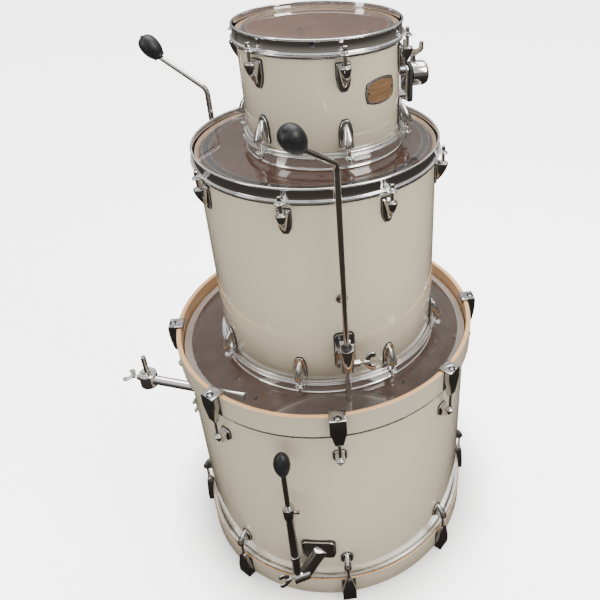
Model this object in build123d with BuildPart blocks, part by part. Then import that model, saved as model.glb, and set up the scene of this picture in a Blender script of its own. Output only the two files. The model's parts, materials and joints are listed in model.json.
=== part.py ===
from build123d import *
import os

os.makedirs("parts", exist_ok=True)

# Acoustic drum kit stacked for storage, millimetres, +Z up, z = 0 is the floor.
# The bass drum stands on its front hoop with its axis on Z. The floor tom stands
# upside down on the bass batter head, the rack tom stands on the floor tom's head.

# bass drum, 22 in x 18 in
bass_r = 279.4
bass_wall = 7.5
bass_depth = 457.0
bass_lug_count = 8
bass_lug_start = -87.0
hoop_height = 45.0
hoop_outer_r = 290.0
hoop_inner_r = 281.0
hoop_reach = 26.0          # hoop past the bearing edge
claw_wall = 3.0
liner_wall = 1.5
bass_rod_out = 18.0        # rod axis outside the shell
bass_lug_inset = 78.5      # lug centre from the bearing edge

# floor tom, 16 in x 15 in
floor_r = 203.2
floor_depth = 381.0
floor_at = (7.0, 1.0)
floor_lug_count = 8
floor_lug_start = -104.5

# rack tom, 10 in x 7 in
rack_r = 127.0
rack_depth = 178.0
rack_at = (21.0, 1.0)
rack_lug_count = 6
rack_lug_start = -75.0

# shared tom hardware
tom_wall = 6.0
film = 0.5
rim_reach = 9.5            # metal rim past the bearing edge
flange_drop = 12.5         # rim flange below the bearing edge
tom_rod_out = 13.0
tom_lug_inset = 47.0
gasket = 1.2
rod_r = 3.0
body_gap = 0.3             # between a drum and the one it stands on

# floor-tom legs
leg_angles = (-82.5, 147.5, 47.5)
leg_turns = (-123.4, 164.3, 150.0)   # heading of each bent foot
leg_out = 25.8
leg_r = 4.75
leg_low = 491.0
leg_bend = 933.0
leg_tilt = 56.0
leg_mouth = 95.0           # knee to the rubber foot's mouth
foot_tilt = 39.0
bracket_z = 580.0

# bass spurs and tom holder
top_angle = 160.5          # the side that faces up when the drum is played
spur_angle = -98.0
spur_z = 143.0
pivot = (300.2, -37.0, 85.0)
pivot_turn = 25.0
holder_z = 225.0

bass_z0 = claw_wall + liner_wall + hoop_reach
bass_z1 = bass_z0 + bass_depth
bass_mid = (bass_z0 + bass_z1) / 2
hoop_top = bass_z1 + hoop_reach
hoop_low = hoop_top - hoop_height
floor_z0 = bass_z1 + film + body_gap + rim_reach
floor_z1 = floor_z0 + floor_depth
floor_mid = (floor_z0 + floor_z1) / 2
rack_z0 = floor_z1 + film + body_gap + rim_reach
rack_z1 = rack_z0 + rack_depth
rack_mid = (rack_z0 + rack_z1) / 2
bass_mirror = Plane.XY.offset(bass_mid)
floor_mirror = Plane.XY.offset(floor_mid)
rack_mirror = Plane.XY.offset(rack_mid)


def radial(r, z=0.0, y=0.0):
    # plane facing outwards: local x is tangential, local y is up
    return Plane(origin=(r, y, z), x_dir=(0, 1, 0), z_dir=(1, 0, 0))


def turned(angle, at=(0.0, 0.0)):
    return Location((at[0], at[1], 0), (0, 0, angle))


def around(count, start, at=(0.0, 0.0)):
    return [turned(start + i * 360 / count, at) for i in range(count)]


def ring(r_out, r_in, z0, z1):
    with BuildPart() as piece:
        with BuildSketch(Plane.XY.offset(z0)):
            Circle(r_out)
            Circle(r_in, mode=Mode.SUBTRACT)
        extrude(amount=z1 - z0)
    return piece.part


def spun(points):
    with BuildPart() as piece:
        with BuildSketch(Plane.XZ):
            with BuildLine():
                Polyline(*points, close=True)
            make_face()
        revolve(axis=Axis.Z)
    return piece.part


def drum_shell(r, wall, z0, z1):
    # plywood tube with a 45 degree bearing edge cut from the inside
    cut = wall - 2.0
    return spun([(r - wall, z0 + cut), (r - 2.0, z0), (r - 0.8, z0), (r, z0 + 0.8), (r, z1 - 0.8),
                 (r - 0.8, z1), (r - 2.0, z1), (r - wall, z1 - cut)])


def drum_head(r, edge, drop, low, width):
    # film over the bearing edge, collar, and the flesh hoop it is set in
    return spun([(0, edge), (r + 0.3, edge), (r + 0.3, edge - low), (r + width, edge - low),
                 (r + width, edge - drop), (r + 0.8, edge - drop), (r + 0.8, edge + film - 0.4),
                 (r + 0.4, edge + film), (0, edge + film)])


def tom_rim(r, edge, count, start):
    # triple-flanged rim: eared lower flange, upright wall, rolled top
    wall_in = r + 1.9
    low = edge - flange_drop
    top = edge + rim_reach
    with BuildPart() as piece:
        with BuildSketch(Plane.XZ):
            with BuildLine():
                Polyline((wall_in, low), (wall_in + 2, low), (wall_in + 2, top - 2.6),
                         (wall_in + 3.0, top - 1.9), (wall_in + 3.9, top - 1.9), (wall_in + 3.9, top - 0.5),
                         (wall_in + 3.4, top), (wall_in + 0.6, top), (wall_in, top - 0.7), close=True)
            make_face()
        revolve(axis=Axis.Z)
        with BuildSketch(Plane.XY.offset(low)):
            Circle(r + 8.2)
            with PolarLocations(r + tom_rod_out, count, start_angle=start):
                Circle(8.0)
            Circle(wall_in, mode=Mode.SUBTRACT)
            with PolarLocations(r + tom_rod_out, count, start_angle=start):
                Circle(rod_r + 0.4, mode=Mode.SUBTRACT)
        extrude(amount=2.0)
    return piece.part


def boss_section(half, nose, back, z):
    with BuildSketch(Plane.XY.offset(z)) as section:
        with BuildLine():
            Line((back, -half), (nose, -half))
            ThreePointArc((nose, -half), (nose + half, 0), (nose, half))
            Line((nose, half), (back, half))
            Line((back, half), (back, -half))
        make_face()
    return section.sketch.face()


tom_outline = ((-11.5, 22.0), (11.5, 22.0), (11.5, -1.0), (9.6, -12.5), (4.6, -21.5), (-4.6, -21.5),
               (-9.6, -12.5), (-11.5, -1.0))
bass_outline = ((-8.0, 14.0), (8.0, 14.0), (12.5, 8.5), (12.5, -7.0), (5.5, -14.5), (-5.5, -14.5),
                (-12.5, -7.0), (-12.5, 8.5))


def lug(r, z, outline, rod_out, top, low, half, screws):
    # die-cast lug: plate on the gasket, boat-shaped boss, threaded rod hole
    back = r + gasket
    with BuildPart() as piece:
        with BuildSketch(radial(back, z)) as plate:
            Polygon(*[(x * 0.93, y * 0.96) for x, y in outline], align=None)
            fillet(plate.vertices(), radius=2.2)
        extrude(amount=2.6)
        loft([boss_section(half, r + rod_out, back, z + top), boss_section(2.2, back + 3.4, back, z + low)])
        extrude(boss_section(half, r + rod_out, back, z + top), amount=2.0)
        with Locations((r + rod_out, 0, z + top + 2.0 - 9.0)):
            Cylinder(rod_r + 0.05, 18.0, mode=Mode.SUBTRACT)
        with BuildSketch(radial(back, z)):
            with Locations(*[(0, s) for s in screws]):
                Circle(2.45)
        extrude(amount=2.4, mode=Mode.SUBTRACT)
    return piece.part


def lug_gasket(r, z, outline, screws):
    with BuildPart() as piece:
        with BuildSketch(radial(r - 2.0, z)) as plate:
            Polygon(*outline, align=None)
            fillet(plate.vertices(), radius=2.4)
            with Locations(*[(0, s) for s in screws]):
                Circle(2.6, mode=Mode.SUBTRACT)
        extrude(amount=2.0 + gasket)
        with BuildSketch(Plane.XY.offset(z - 40)):
            Circle(r)
        extrude(amount=80, mode=Mode.SUBTRACT)
    return piece.part


def lug_screw(r, wall, z, screws):
    # washer, pan head and shank, set from inside the shell
    inner = r - wall - 0.25
    with BuildPart() as piece:
        for s in screws:
            with BuildSketch(radial(inner - 1.0, z + s)):
                Circle(5.5)
            extrude(amount=1.0)
            with BuildSketch(radial(inner - 3.4, z + s)):
                Circle(4.2)
            extrude(amount=2.4)
            with BuildSketch(radial(inner - 1.0, z + s)):
                Circle(2.4)
            extrude(amount=wall + 1.25 + gasket + 2.0)
    return piece.part


def tom_rod(r, edge, z, top):
    # square-head tension rod with its washer on the rim flange
    seat = edge - flange_drop + 2.0
    low = z + top - 14.0
    x = r + tom_rod_out
    with BuildPart() as piece:
        for radius, start, end in ((rod_r, low, seat), (6.2, seat, seat + 1.2), (5.0, seat + 1.2, seat + 3.6)):
            with BuildSketch(Plane(origin=(x, 0, start))):
                Circle(radius)
            extrude(amount=end - start)
        with BuildSketch(Plane(origin=(x, 0, seat + 3.6))):
            Rectangle(6.2, 6.2)
        extrude(amount=7.6)
    return piece.part


def wing_bolt(stem_r, length, hub, span, rise):
    # stem along +Z from its tip, two swept wings at the far end
    with BuildPart() as piece:
        with BuildSketch():
            Circle(stem_r)
        extrude(amount=length)
        with BuildSketch(Plane.XY.offset(length - hub * 1.4)):
            Circle(hub)
        extrude(amount=hub * 1.8)
        with BuildSketch(Plane.XZ) as wings:
            for s in (-1, 1):
                with BuildLine():
                    Polyline((s * 1.0, length - hub), (s * hub * 1.3, length - hub), (s * span, length + rise * 0.35),
                             (s * (span + 1.0), length + rise), (s * (span - 4.0), length + rise + 2.0),
                             (s * hub * 1.25, length + hub * 0.8), (s * 1.0, length + hub * 0.5), close=True)
                make_face()
            fillet(wings.vertices().filter_by_position(Axis.X, -60, -hub * 2), radius=1.8)
            fillet(wings.vertices().filter_by_position(Axis.X, hub * 2, 60), radius=1.8)
        extrude(amount=2.0, both=True)
    return piece.part


def radial_holes(radius, r_in, r_out, spots):
    # cutters for holes drilled through a shell wall, at azimuth 0
    with BuildPart() as piece:
        with BuildSketch(radial(r_in)):
            with Locations(*spots):
                Circle(radius)
        extrude(amount=r_out - r_in)
    return piece.part


def claw_body():
    # hook over the hoop with a shield-shaped front and a recess for the rod's head
    hook_in, front = 277.2, hoop_outer_r + liner_wall - 0.1
    top = hoop_top + liner_wall + claw_wall
    seat = hoop_top + liner_wall
    with BuildPart() as piece:
        with BuildSketch(Plane.XZ):
            with BuildLine():
                Polyline((hook_in, seat - 8), (hook_in, top - 1.5), (hook_in + 1.5, top), (front + 12.5, top),
                         (front + 14.1, top - 1.8), (front + 14.1, top - 20), (front + 10.0, hoop_low - 15),
                         (front + 3.0, hoop_low - 15), (front, hoop_low + 1.5), (front, seat),
                         (hook_in + 2.4, seat), (hook_in + 2.4, seat - 8), close=True)
            make_face()
        extrude(amount=14, both=True)
        with BuildSketch(radial(260)) as shield:
            Polygon((-13, top + 1), (13, top + 1), (13, top - 24), (5.2, hoop_low - 16), (-5.2, hoop_low - 16),
                    (-13, top - 24), align=None)
            fillet(shield.vertices().group_by(Axis.Z)[:2], radius=3.0)
        extrude(amount=80, mode=Mode.INTERSECT)
        with Locations((bass_r + bass_rod_out, 0, (top + hoop_low) / 2)):
            Cylinder(rod_r + 0.3, 120, mode=Mode.SUBTRACT)
        with Locations((bass_r + bass_rod_out, 0, top)):
            Cylinder(5.6, 16, mode=Mode.SUBTRACT)
    return piece.part


def claw_pad():
    # rubber liner between claw and hoop
    hook_in, front = 277.2 + 2.4, hoop_outer_r + liner_wall - 0.1
    seat = hoop_top + liner_wall
    with BuildPart() as piece:
        with BuildSketch(Plane.XZ):
            with BuildLine():
                Polyline((hook_in, seat - 8), (hook_in, seat), (front, seat), (front, hoop_low + 1.5),
                         (hoop_outer_r, hoop_low + 1.5), (hoop_outer_r, hoop_top),
                         (hoop_inner_r - 0.5, hoop_top), (hoop_inner_r - 0.5, seat - 8), close=True)
            make_face()
        extrude(amount=14.2, both=True)
    return piece.part


def claw_rod():
    # key-head tension rod, its head sunk in the claw's recess
    top = hoop_top + liner_wall + claw_wall
    low = bass_z1 - bass_lug_inset + 10.0 - 14.0
    x = bass_r + bass_rod_out
    with BuildPart() as piece:
        for radius, start, end in ((rod_r, low, top - 8), (5.0, top - 8, top - 5.6)):
            with BuildSketch(Plane(origin=(x, 0, start))):
                Circle(radius)
            extrude(amount=end - start)
        with BuildSketch(Plane(origin=(x, 0, top - 5.6))):
            Rectangle(6.2, 6.2)
        extrude(amount=5.0)
    return piece.part


bass_locs = around(bass_lug_count, bass_lug_start)
floor_locs = around(floor_lug_count, floor_lug_start, floor_at)
rack_locs = around(rack_lug_count, rack_lug_start, rack_at)
bass_lug_z = bass_z1 - bass_lug_inset
floor_lug_z = floor_z1 - tom_lug_inset
rack_lug_z = rack_z1 - tom_lug_inset
two = (11.0, -7.0)

# spur bracket: base plate on the shell, arm out to the pivot. Azimuth 0 faces the plate.
spur_axis = Vector(0, 1, 0).rotate(Axis.Z, pivot_turn)
pivot_point = Vector(*pivot)


def on_pivot(along):
    return Plane(origin=pivot_point + spur_axis * along, x_dir=(0, 0, 1), z_dir=spur_axis)


def spur_bracket_body():
    back = bass_r + 1.5
    with BuildPart() as piece:
        with BuildSketch(radial(back, spur_z)) as plate:
            RectangleRounded(64, 46, 9)
        extrude(amount=4.0)
        start = pivot_point + spur_axis * 9.4
        end = Vector(back + 1.0, 4, spur_z - 2)
        with BuildSketch(Plane(origin=start, x_dir=(0, 0, 1), z_dir=end - start)):
            RectangleRounded(30, 16, 6)
        extrude(amount=(end - start).length)
        with BuildSketch(on_pivot(2.4)):
            Circle(14.0)
        extrude(amount=14.0)
        with BuildSketch(on_pivot(2.4)):
            Circle(45)
        extrude(amount=-45, mode=Mode.SUBTRACT)
        with BuildSketch(on_pivot(1.0)):
            Circle(rod_r + 0.05)
        extrude(amount=18.0, mode=Mode.SUBTRACT)
        with BuildSketch(Plane.XY.offset(spur_z - 80)):
            Circle(back - 2)
        extrude(amount=160, mode=Mode.SUBTRACT)
        with BuildSketch(radial(back - 30, spur_z)):
            Rectangle(120, 140)
        extrude(amount=30, mode=Mode.SUBTRACT)
    return piece.part


def plate_gasket(r, wide, tall, corner, z, thick):
    with BuildPart() as piece:
        with BuildSketch(radial(r - 4.0, z)):
            RectangleRounded(wide, tall, corner)
        extrude(amount=4.0 + thick)
        with BuildSketch(Plane.XY.offset(z - 60)):
            Circle(r)
        extrude(amount=120, mode=Mode.SUBTRACT)
    return piece.part


leg_axis_point = pivot_point - spur_axis * 6.0


def spur_tube_body():
    # knuckle, outer tube with a bottom ring and the collar that grips the inner rod
    x, y, z = leg_axis_point
    with BuildPart() as piece:
        with BuildSketch(on_pivot(-14.0)):
            Circle(14.0)
        extrude(amount=16.1)
        for r, low, high in ((8.0, z + 2, z + 196), (10.0, z + 60, z + 69), (10.6, z + 188, z + 213)):
            with BuildSketch(Plane(origin=(x, y, low))):
                Circle(r)
            extrude(amount=high - low)
        with BuildSketch(Plane(origin=(x, y + 6, z + 200.5), x_dir=(0, 0, 1), z_dir=(0, 1, 0))):
            Circle(3.6)
        extrude(amount=9.0)
        with BuildSketch(Plane(origin=(x, y + 15, z + 200.5), x_dir=(0, 0, 1), z_dir=(0, 1, 0))):
            Rectangle(5.2, 5.2)
        extrude(amount=5.0)
        with BuildSketch(Plane(origin=(x, y, z + 26))):
            Circle(leg_r + 0.05)
        extrude(amount=200, mode=Mode.SUBTRACT)
        with BuildSketch(on_pivot(-20.0)):
            Circle(rod_r + 0.05)
        extrude(amount=40, mode=Mode.SUBTRACT)
    return piece.part


def spur_rod_body():
    x, y, z = leg_axis_point
    with BuildPart() as piece:
        with BuildSketch(Plane(origin=(x, y, z + 60))):
            Circle(leg_r)
        extrude(amount=250)
    return piece.part


def spur_foot_body():
    # egg-shaped rubber foot on the rod's end
    x, y, z = leg_axis_point
    base = z + 306
    with BuildPart() as piece:
        with BuildSketch(Plane.XZ.offset(-y)):
            with BuildLine():
                Line((x, base), (x + 9, base))
                Spline((x + 9, base), (x + 14.8, base + 20), (x + 12.3, base + 38), (x, base + 50),
                       tangents=((0.6, 1), (-1, 0)))
                Line((x, base + 50), (x, base))
            make_face()
        revolve(axis=Axis((x, y, 0), (0, 0, 1)))
        with BuildSketch(Plane(origin=(x, y, base - 1))):
            Circle(leg_r)
        extrude(amount=z + 310 - base + 1, mode=Mode.SUBTRACT)
    return piece.part


def spur_wing_body():
    bolt = wing_bolt(rod_r, 42.0, 6.5, 19.0, 13.0)
    with BuildPart() as piece:
        with Locations(Plane(origin=pivot_point + spur_axis * 14.0, x_dir=(0, 0, 1), z_dir=-spur_axis)):
            add(bolt)
    return piece.part


# ---------------------------------------------------------------- bass drum
bass_bores = radial_holes(2.5, bass_r - 15, bass_r + 15, [(0, bass_lug_z), (0, 2 * bass_mid - bass_lug_z)])
pipe_bore = radial_holes(12.5, bass_r - 20, bass_r + 20, [(0, holder_z)])
with BuildPart() as bass_shell:
    add(drum_shell(bass_r, bass_wall, bass_z0, bass_z1))
    with Locations(*bass_locs):
        add(bass_bores, mode=Mode.SUBTRACT)
    with Locations(turned(top_angle)):
        add(pipe_bore, mode=Mode.SUBTRACT)
bass_shell.part.label = "bass_shell"
export_step(bass_shell.part, "parts/bass_shell.step")

with BuildPart() as bass_head_batter:
    add(drum_head(bass_r, bass_z1, bass_z1 - hoop_low, bass_z1 - hoop_low + 6.5, 8.0))
bass_head_batter.part.label = "bass_head_batter"
export_step(bass_head_batter.part, "parts/bass_head_batter.step")

with BuildPart() as bass_head_front:
    add(mirror(bass_head_batter.part, about=bass_mirror))
bass_head_front.part.label = "bass_head_front"
export_step(bass_head_front.part, "parts/bass_head_front.step")

with BuildPart() as bass_hoop_top:
    add(ring(hoop_outer_r, hoop_inner_r, hoop_low, hoop_top))
    fillet(bass_hoop_top.edges().filter_by(GeomType.CIRCLE), radius=1.2)
bass_hoop_top.part.label = "bass_hoop_top"
export_step(bass_hoop_top.part, "parts/bass_hoop_top.step")

with BuildPart() as bass_hoop_bottom:
    add(mirror(bass_hoop_top.part, about=bass_mirror))
bass_hoop_bottom.part.label = "bass_hoop_bottom"
export_step(bass_hoop_bottom.part, "parts/bass_hoop_bottom.step")

bass_lug = lug(bass_r, bass_lug_z, bass_outline, bass_rod_out, 8.0, -12.0, 8.2, (0,))
with BuildPart() as bass_lugs:
    with Locations(*bass_locs):
        add(bass_lug)
    mirror(about=bass_mirror)
bass_lugs.part.label = "bass_lugs"
export_step(bass_lugs.part, "parts/bass_lugs.step")

bass_pad = lug_gasket(bass_r, bass_lug_z, bass_outline, (0,))
spur_pad = plate_gasket(bass_r, 67, 49, 10, spur_z, 1.5)
holder_pad = plate_gasket(bass_r, 61, 61, 12, holder_z, 1.5)
with BuildPart() as bass_gaskets:
    with Locations(*bass_locs):
        add(bass_pad)
    mirror(about=bass_mirror)
    with Locations(turned(spur_angle), turned(2 * top_angle - spur_angle)):
        add(spur_pad)
    with Locations(turned(top_angle)):
        add(holder_pad)
        add(radial_holes(19.0, bass_r - 20, bass_r + 20, [(0, holder_z)]), mode=Mode.SUBTRACT)
bass_gaskets.part.label = "bass_gaskets"
export_step(bass_gaskets.part, "parts/bass_gaskets.step")

bass_screw = lug_screw(bass_r, bass_wall, bass_lug_z, (0,))
with BuildPart() as bass_lug_screws:
    with Locations(*bass_locs):
        add(bass_screw)
    mirror(about=bass_mirror)
bass_lug_screws.part.label = "bass_lug_screws"
export_step(bass_lug_screws.part, "parts/bass_lug_screws.step")

claw = claw_body()
with BuildPart() as bass_claws:
    with Locations(*bass_locs):
        add(claw)
    mirror(about=bass_mirror)
bass_claws.part.label = "bass_claws"
export_step(bass_claws.part, "parts/bass_claws.step")

pad = claw_pad()
with BuildPart() as bass_claw_liners:
    with Locations(*bass_locs):
        add(pad)
    mirror(about=bass_mirror)
bass_claw_liners.part.label = "bass_claw_liners"
export_step(bass_claw_liners.part, "parts/bass_claw_liners.step")

long_rod = claw_rod()
with BuildPart() as bass_tension_rods:
    with Locations(*bass_locs):
        add(long_rod)
    mirror(about=bass_mirror)
bass_tension_rods.part.label = "bass_tension_rods"
export_step(bass_tension_rods.part, "parts/bass_tension_rods.step")

# ---------------------------------------------------------------- spurs
spur_parts = {"bracket": spur_bracket_body(), "tube": spur_tube_body(), "rod": spur_rod_body(),
              "foot": spur_foot_body(), "wing_bolt": spur_wing_body()}
flipped = {key: mirror(value, about=Plane.XZ) for key, value in spur_parts.items()}
left_spur = turned(spur_angle)
right_spur = turned(2 * top_angle - spur_angle)
with BuildPart() as spur_brackets:
    with Locations(left_spur):
        add(spur_parts["bracket"])
    with Locations(right_spur):
        add(flipped["bracket"])
spur_brackets.part.label = "spur_brackets"
export_step(spur_brackets.part, "parts/spur_brackets.step")

for side, source, place in (("left", spur_parts, left_spur), ("right", flipped, right_spur)):
    for key in ("tube", "rod", "foot", "wing_bolt"):
        with BuildPart() as spur_piece:
            with Locations(place):
                add(source[key])
        spur_piece.part.label = f"spur_{key}_{side}"
        export_step(spur_piece.part, f"parts/spur_{key}_{side}.step")

# ---------------------------------------------------------------- tom holder
pipe_r = 11.1
ball_at = 465.0
with BuildPart() as holder_base_zero:
    with BuildSketch(radial(bass_r + 1.5, holder_z)):
        RectangleRounded(58, 58, 11)
    extrude(amount=4.5)
    with BuildSketch(radial(bass_r + 1.5, holder_z)):
        Circle(17.5)
    extrude(amount=46)
    with BuildSketch(Plane(origin=(bass_r + 34, 8, holder_z), x_dir=(0, 0, 1), z_dir=(0, 1, 0))):
        Circle(8.5)
    extrude(amount=17)
    with BuildSketch(radial(bass_r - 10, holder_z)):
        Circle(pipe_r + 0.05)
    extrude(amount=80, mode=Mode.SUBTRACT)
    with BuildSketch(Plane(origin=(bass_r + 34, 5, holder_z), x_dir=(0, 0, 1), z_dir=(0, 1, 0))):
        Circle(rod_r + 0.05)
    extrude(amount=30, mode=Mode.SUBTRACT)
with BuildPart() as tom_holder_base:
    with Locations(turned(top_angle)):
        add(holder_base_zero.part)
tom_holder_base.part.label = "tom_holder_base"
export_step(tom_holder_base.part, "parts/tom_holder_base.step")

base_bolt = wing_bolt(rod_r, 34.0, 6.0, 18.0, 12.0)
with BuildPart() as tom_holder_base_wing_bolt:
    with Locations(turned(top_angle)):
        with Locations(Plane(origin=(bass_r + 34, pipe_r + 0.5, holder_z), x_dir=(0, 0, 1), z_dir=(0, 1, 0))):
            add(base_bolt)
tom_holder_base_wing_bolt.part.label = "tom_holder_base_wing_bolt"
export_step(tom_holder_base_wing_bolt.part, "parts/tom_holder_base_wing_bolt.step")

with BuildPart() as arm_zero:
    with BuildSketch(radial(215, holder_z)):
        Circle(pipe_r)
    extrude(amount=236)
    with BuildSketch(Plane(origin=(ball_at, 0, holder_z - 18))):
        Circle(21.0)
    extrude(amount=36)
    fillet(arm_zero.faces().sort_by(Axis.Z)[0].edges(), radius=4.0)
    with BuildSketch(radial(ball_at + 16, holder_z)):
        Circle(8.0)
    extrude(amount=12)
    with BuildSketch(radial(200, holder_z)):
        Circle(9.0)
    extrude(amount=235, mode=Mode.SUBTRACT)
    with Locations((ball_at, 0, holder_z)):
        Sphere(14.05, mode=Mode.SUBTRACT)
    with BuildSketch(Plane(origin=(ball_at, 0, holder_z))):
        SlotOverall(27, 14)
    extrude(amount=40, mode=Mode.SUBTRACT)
    with BuildSketch(radial(ball_at + 5, holder_z)):
        Circle(rod_r + 0.05)
    extrude(amount=40, mode=Mode.SUBTRACT)
with BuildPart() as tom_holder_arm:
    with Locations(turned(top_angle)):
        add(arm_zero.part)
tom_holder_arm.part.label = "tom_holder_arm"
export_step(tom_holder_arm.part, "parts/tom_holder_arm.step")

with BuildPart() as ball_zero:
    with Locations((ball_at, 0, holder_z)):
        Sphere(14.0)
    with BuildSketch(Plane(origin=(ball_at, 0, holder_z + 8))):
        RegularPolygon(radius=5.4, side_count=6, major_radius=False)
    extrude(amount=62)
    chamfer(ball_zero.faces().sort_by(Axis.Z)[-1].edges(), length=1.0)
with BuildPart() as tom_holder_ball_rod:
    with Locations(turned(top_angle)):
        add(ball_zero.part)
tom_holder_ball_rod.part.label = "tom_holder_ball_rod"
export_step(tom_holder_ball_rod.part, "parts/tom_holder_ball_rod.step")

clamp_bolt = wing_bolt(rod_r, 32.0, 6.0, 19.0, 12.0)
with BuildPart() as tom_holder_clamp_wing_bolt:
    with Locations(turned(top_angle)):
        with Locations(radial(ball_at + 14.5, holder_z)):
            add(clamp_bolt)
tom_holder_clamp_wing_bolt.part.label = "tom_holder_clamp_wing_bolt"
export_step(tom_holder_clamp_wing_bolt.part, "parts/tom_holder_clamp_wing_bolt.step")

# ---------------------------------------------------------------- floor tom
floor_bores = radial_holes(2.5, floor_r - 15, floor_r + 15,
                           [(0, z + s) for z, k in ((floor_lug_z, 1), (2 * floor_mid - floor_lug_z, -1))
                            for s in (two[0] * k, two[1] * k)])
vent_bore = radial_holes(6.0, floor_r - 15, floor_r + 15, [(0, floor_mid)])
with BuildPart() as floor_shell:
    with Locations(turned(0, floor_at)):
        add(drum_shell(floor_r, tom_wall, floor_z0, floor_z1))
    with Locations(*floor_locs):
        add(floor_bores, mode=Mode.SUBTRACT)
    with Locations(turned(leg_angles[0], floor_at)):
        add(vent_bore, mode=Mode.SUBTRACT)
floor_shell.part.label = "floor_shell"
export_step(floor_shell.part, "parts/floor_shell.step")

with BuildPart() as floor_head_top:
    with Locations(turned(0, floor_at)):
        add(drum_head(floor_r, floor_z1, flange_drop, flange_drop + 6.0, 5.5))
floor_head_top.part.label = "floor_head_top"
export_step(floor_head_top.part, "parts/floor_head_top.step")

with BuildPart() as floor_head_bottom:
    add(mirror(floor_head_top.part, about=floor_mirror))
floor_head_bottom.part.label = "floor_head_bottom"
export_step(floor_head_bottom.part, "parts/floor_head_bottom.step")

with BuildPart() as floor_rim_top:
    with Locations(turned(0, floor_at)):
        add(tom_rim(floor_r, floor_z1, floor_lug_count, floor_lug_start))
floor_rim_top.part.label = "floor_rim_top"
export_step(floor_rim_top.part, "parts/floor_rim_top.step")

with BuildPart() as floor_rim_bottom:
    add(mirror(floor_rim_top.part, about=floor_mirror))
floor_rim_bottom.part.label = "floor_rim_bottom"
export_step(floor_rim_bottom.part, "parts/floor_rim_bottom.step")

floor_lug = lug(floor_r, floor_lug_z, tom_outline, tom_rod_out, 16.0, -14.0, 9.0, two)
with BuildPart() as floor_lugs:
    with Locations(*floor_locs):
        add(floor_lug)
    mirror(about=floor_mirror)
floor_lugs.part.label = "floor_lugs"
export_step(floor_lugs.part, "parts/floor_lugs.step")

floor_pad = lug_gasket(floor_r, floor_lug_z, tom_outline, two)
leg_pad = plate_gasket(floor_r, 36, 76, 9, bracket_z, gasket)
leg_locs = [turned(a, floor_at) for a in leg_angles]
with BuildPart() as floor_gaskets:
    with Locations(*floor_locs):
        add(floor_pad)
    mirror(about=floor_mirror)
    with Locations(*leg_locs):
        add(leg_pad)
floor_gaskets.part.label = "floor_gaskets"
export_step(floor_gaskets.part, "parts/floor_gaskets.step")

floor_screw = lug_screw(floor_r, tom_wall, floor_lug_z, two)
with BuildPart() as floor_lug_screws:
    with Locations(*floor_locs):
        add(floor_screw)
    mirror(about=floor_mirror)
floor_lug_screws.part.label = "floor_lug_screws"
export_step(floor_lug_screws.part, "parts/floor_lug_screws.step")

floor_rod = tom_rod(floor_r, floor_z1, floor_lug_z, 18.0)
with BuildPart() as floor_tension_rods:
    with Locations(*floor_locs):
        add(floor_rod)
    mirror(about=floor_mirror)
floor_tension_rods.part.label = "floor_tension_rods"
export_step(floor_tension_rods.part, "parts/floor_tension_rods.step")

with BuildPart() as vent_zero:
    for r_out, low, high in ((5.9, floor_r - 10, floor_r + 1.0), (9.5, floor_r + 0.3, floor_r + 2.2),
                             (9.0, floor_r - 9.5, floor_r - tom_wall - 0.3)):
        with BuildSketch(radial(low, floor_mid)):
            Circle(r_out)
        extrude(amount=high - low)
    with BuildSketch(radial(floor_r - 15, floor_mid)):
        Circle(4.4)
    extrude(amount=30, mode=Mode.SUBTRACT)
with BuildPart() as floor_vent:
    with Locations(turned(leg_angles[0], floor_at)):
        add(vent_zero.part)
floor_vent.part.label = "floor_vent"
export_step(floor_vent.part, "parts/floor_vent.step")

# leg brackets: plate, clamp barrel round a nylon bush, threaded boss for the wing bolt
leg_x = floor_r + leg_out
plate_x = floor_r + gasket
bolt_z = bracket_z - 12.0
with BuildPart() as bracket_zero:
    with BuildSketch(radial(plate_x, bracket_z)):
        RectangleRounded(33, 73, 8)
    extrude(amount=3.2)
    with BuildSketch(Plane(origin=(0, 0, bracket_z - 23))):
        with Locations((leg_x, 0)):
            Circle(12.0)
        with Locations(((plate_x + leg_x) / 2, 0)):
            Rectangle(leg_x - plate_x, 18)
    extrude(amount=46)
    with BuildSketch(Plane(origin=(leg_x, 8, bolt_z), x_dir=(0, 0, 1), z_dir=(0, 1, 0))):
        Circle(7.5)
    extrude(amount=13)
    with BuildSketch(Plane(origin=(leg_x, 0, bracket_z - 30))):
        Circle(8.0)
    extrude(amount=60, mode=Mode.SUBTRACT)
    with BuildSketch(Plane(origin=(leg_x, 4, bolt_z), x_dir=(0, 0, 1), z_dir=(0, 1, 0))):
        Circle(rod_r + 0.05)
    extrude(amount=30, mode=Mode.SUBTRACT)
with BuildPart() as leg_brackets:
    with Locations(*leg_locs):
        add(bracket_zero.part)
leg_brackets.part.label = "leg_brackets"
export_step(leg_brackets.part, "parts/leg_brackets.step")

with BuildPart() as bush_zero:
    with BuildSketch(Plane(origin=(leg_x, 0, bracket_z - 24.5))):
        Circle(7.95)
        Circle(leg_r + 0.05, mode=Mode.SUBTRACT)
    extrude(amount=49)
    with BuildSketch(Plane(origin=(leg_x, 0, bracket_z + 23))):
        Circle(9.5)
        Circle(leg_r + 0.05, mode=Mode.SUBTRACT)
    extrude(amount=4)
with BuildPart() as leg_bushes:
    with Locations(*leg_locs):
        add(bush_zero.part)
leg_bushes.part.label = "leg_bushes"
export_step(leg_bushes.part, "parts/leg_bushes.step")

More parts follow.
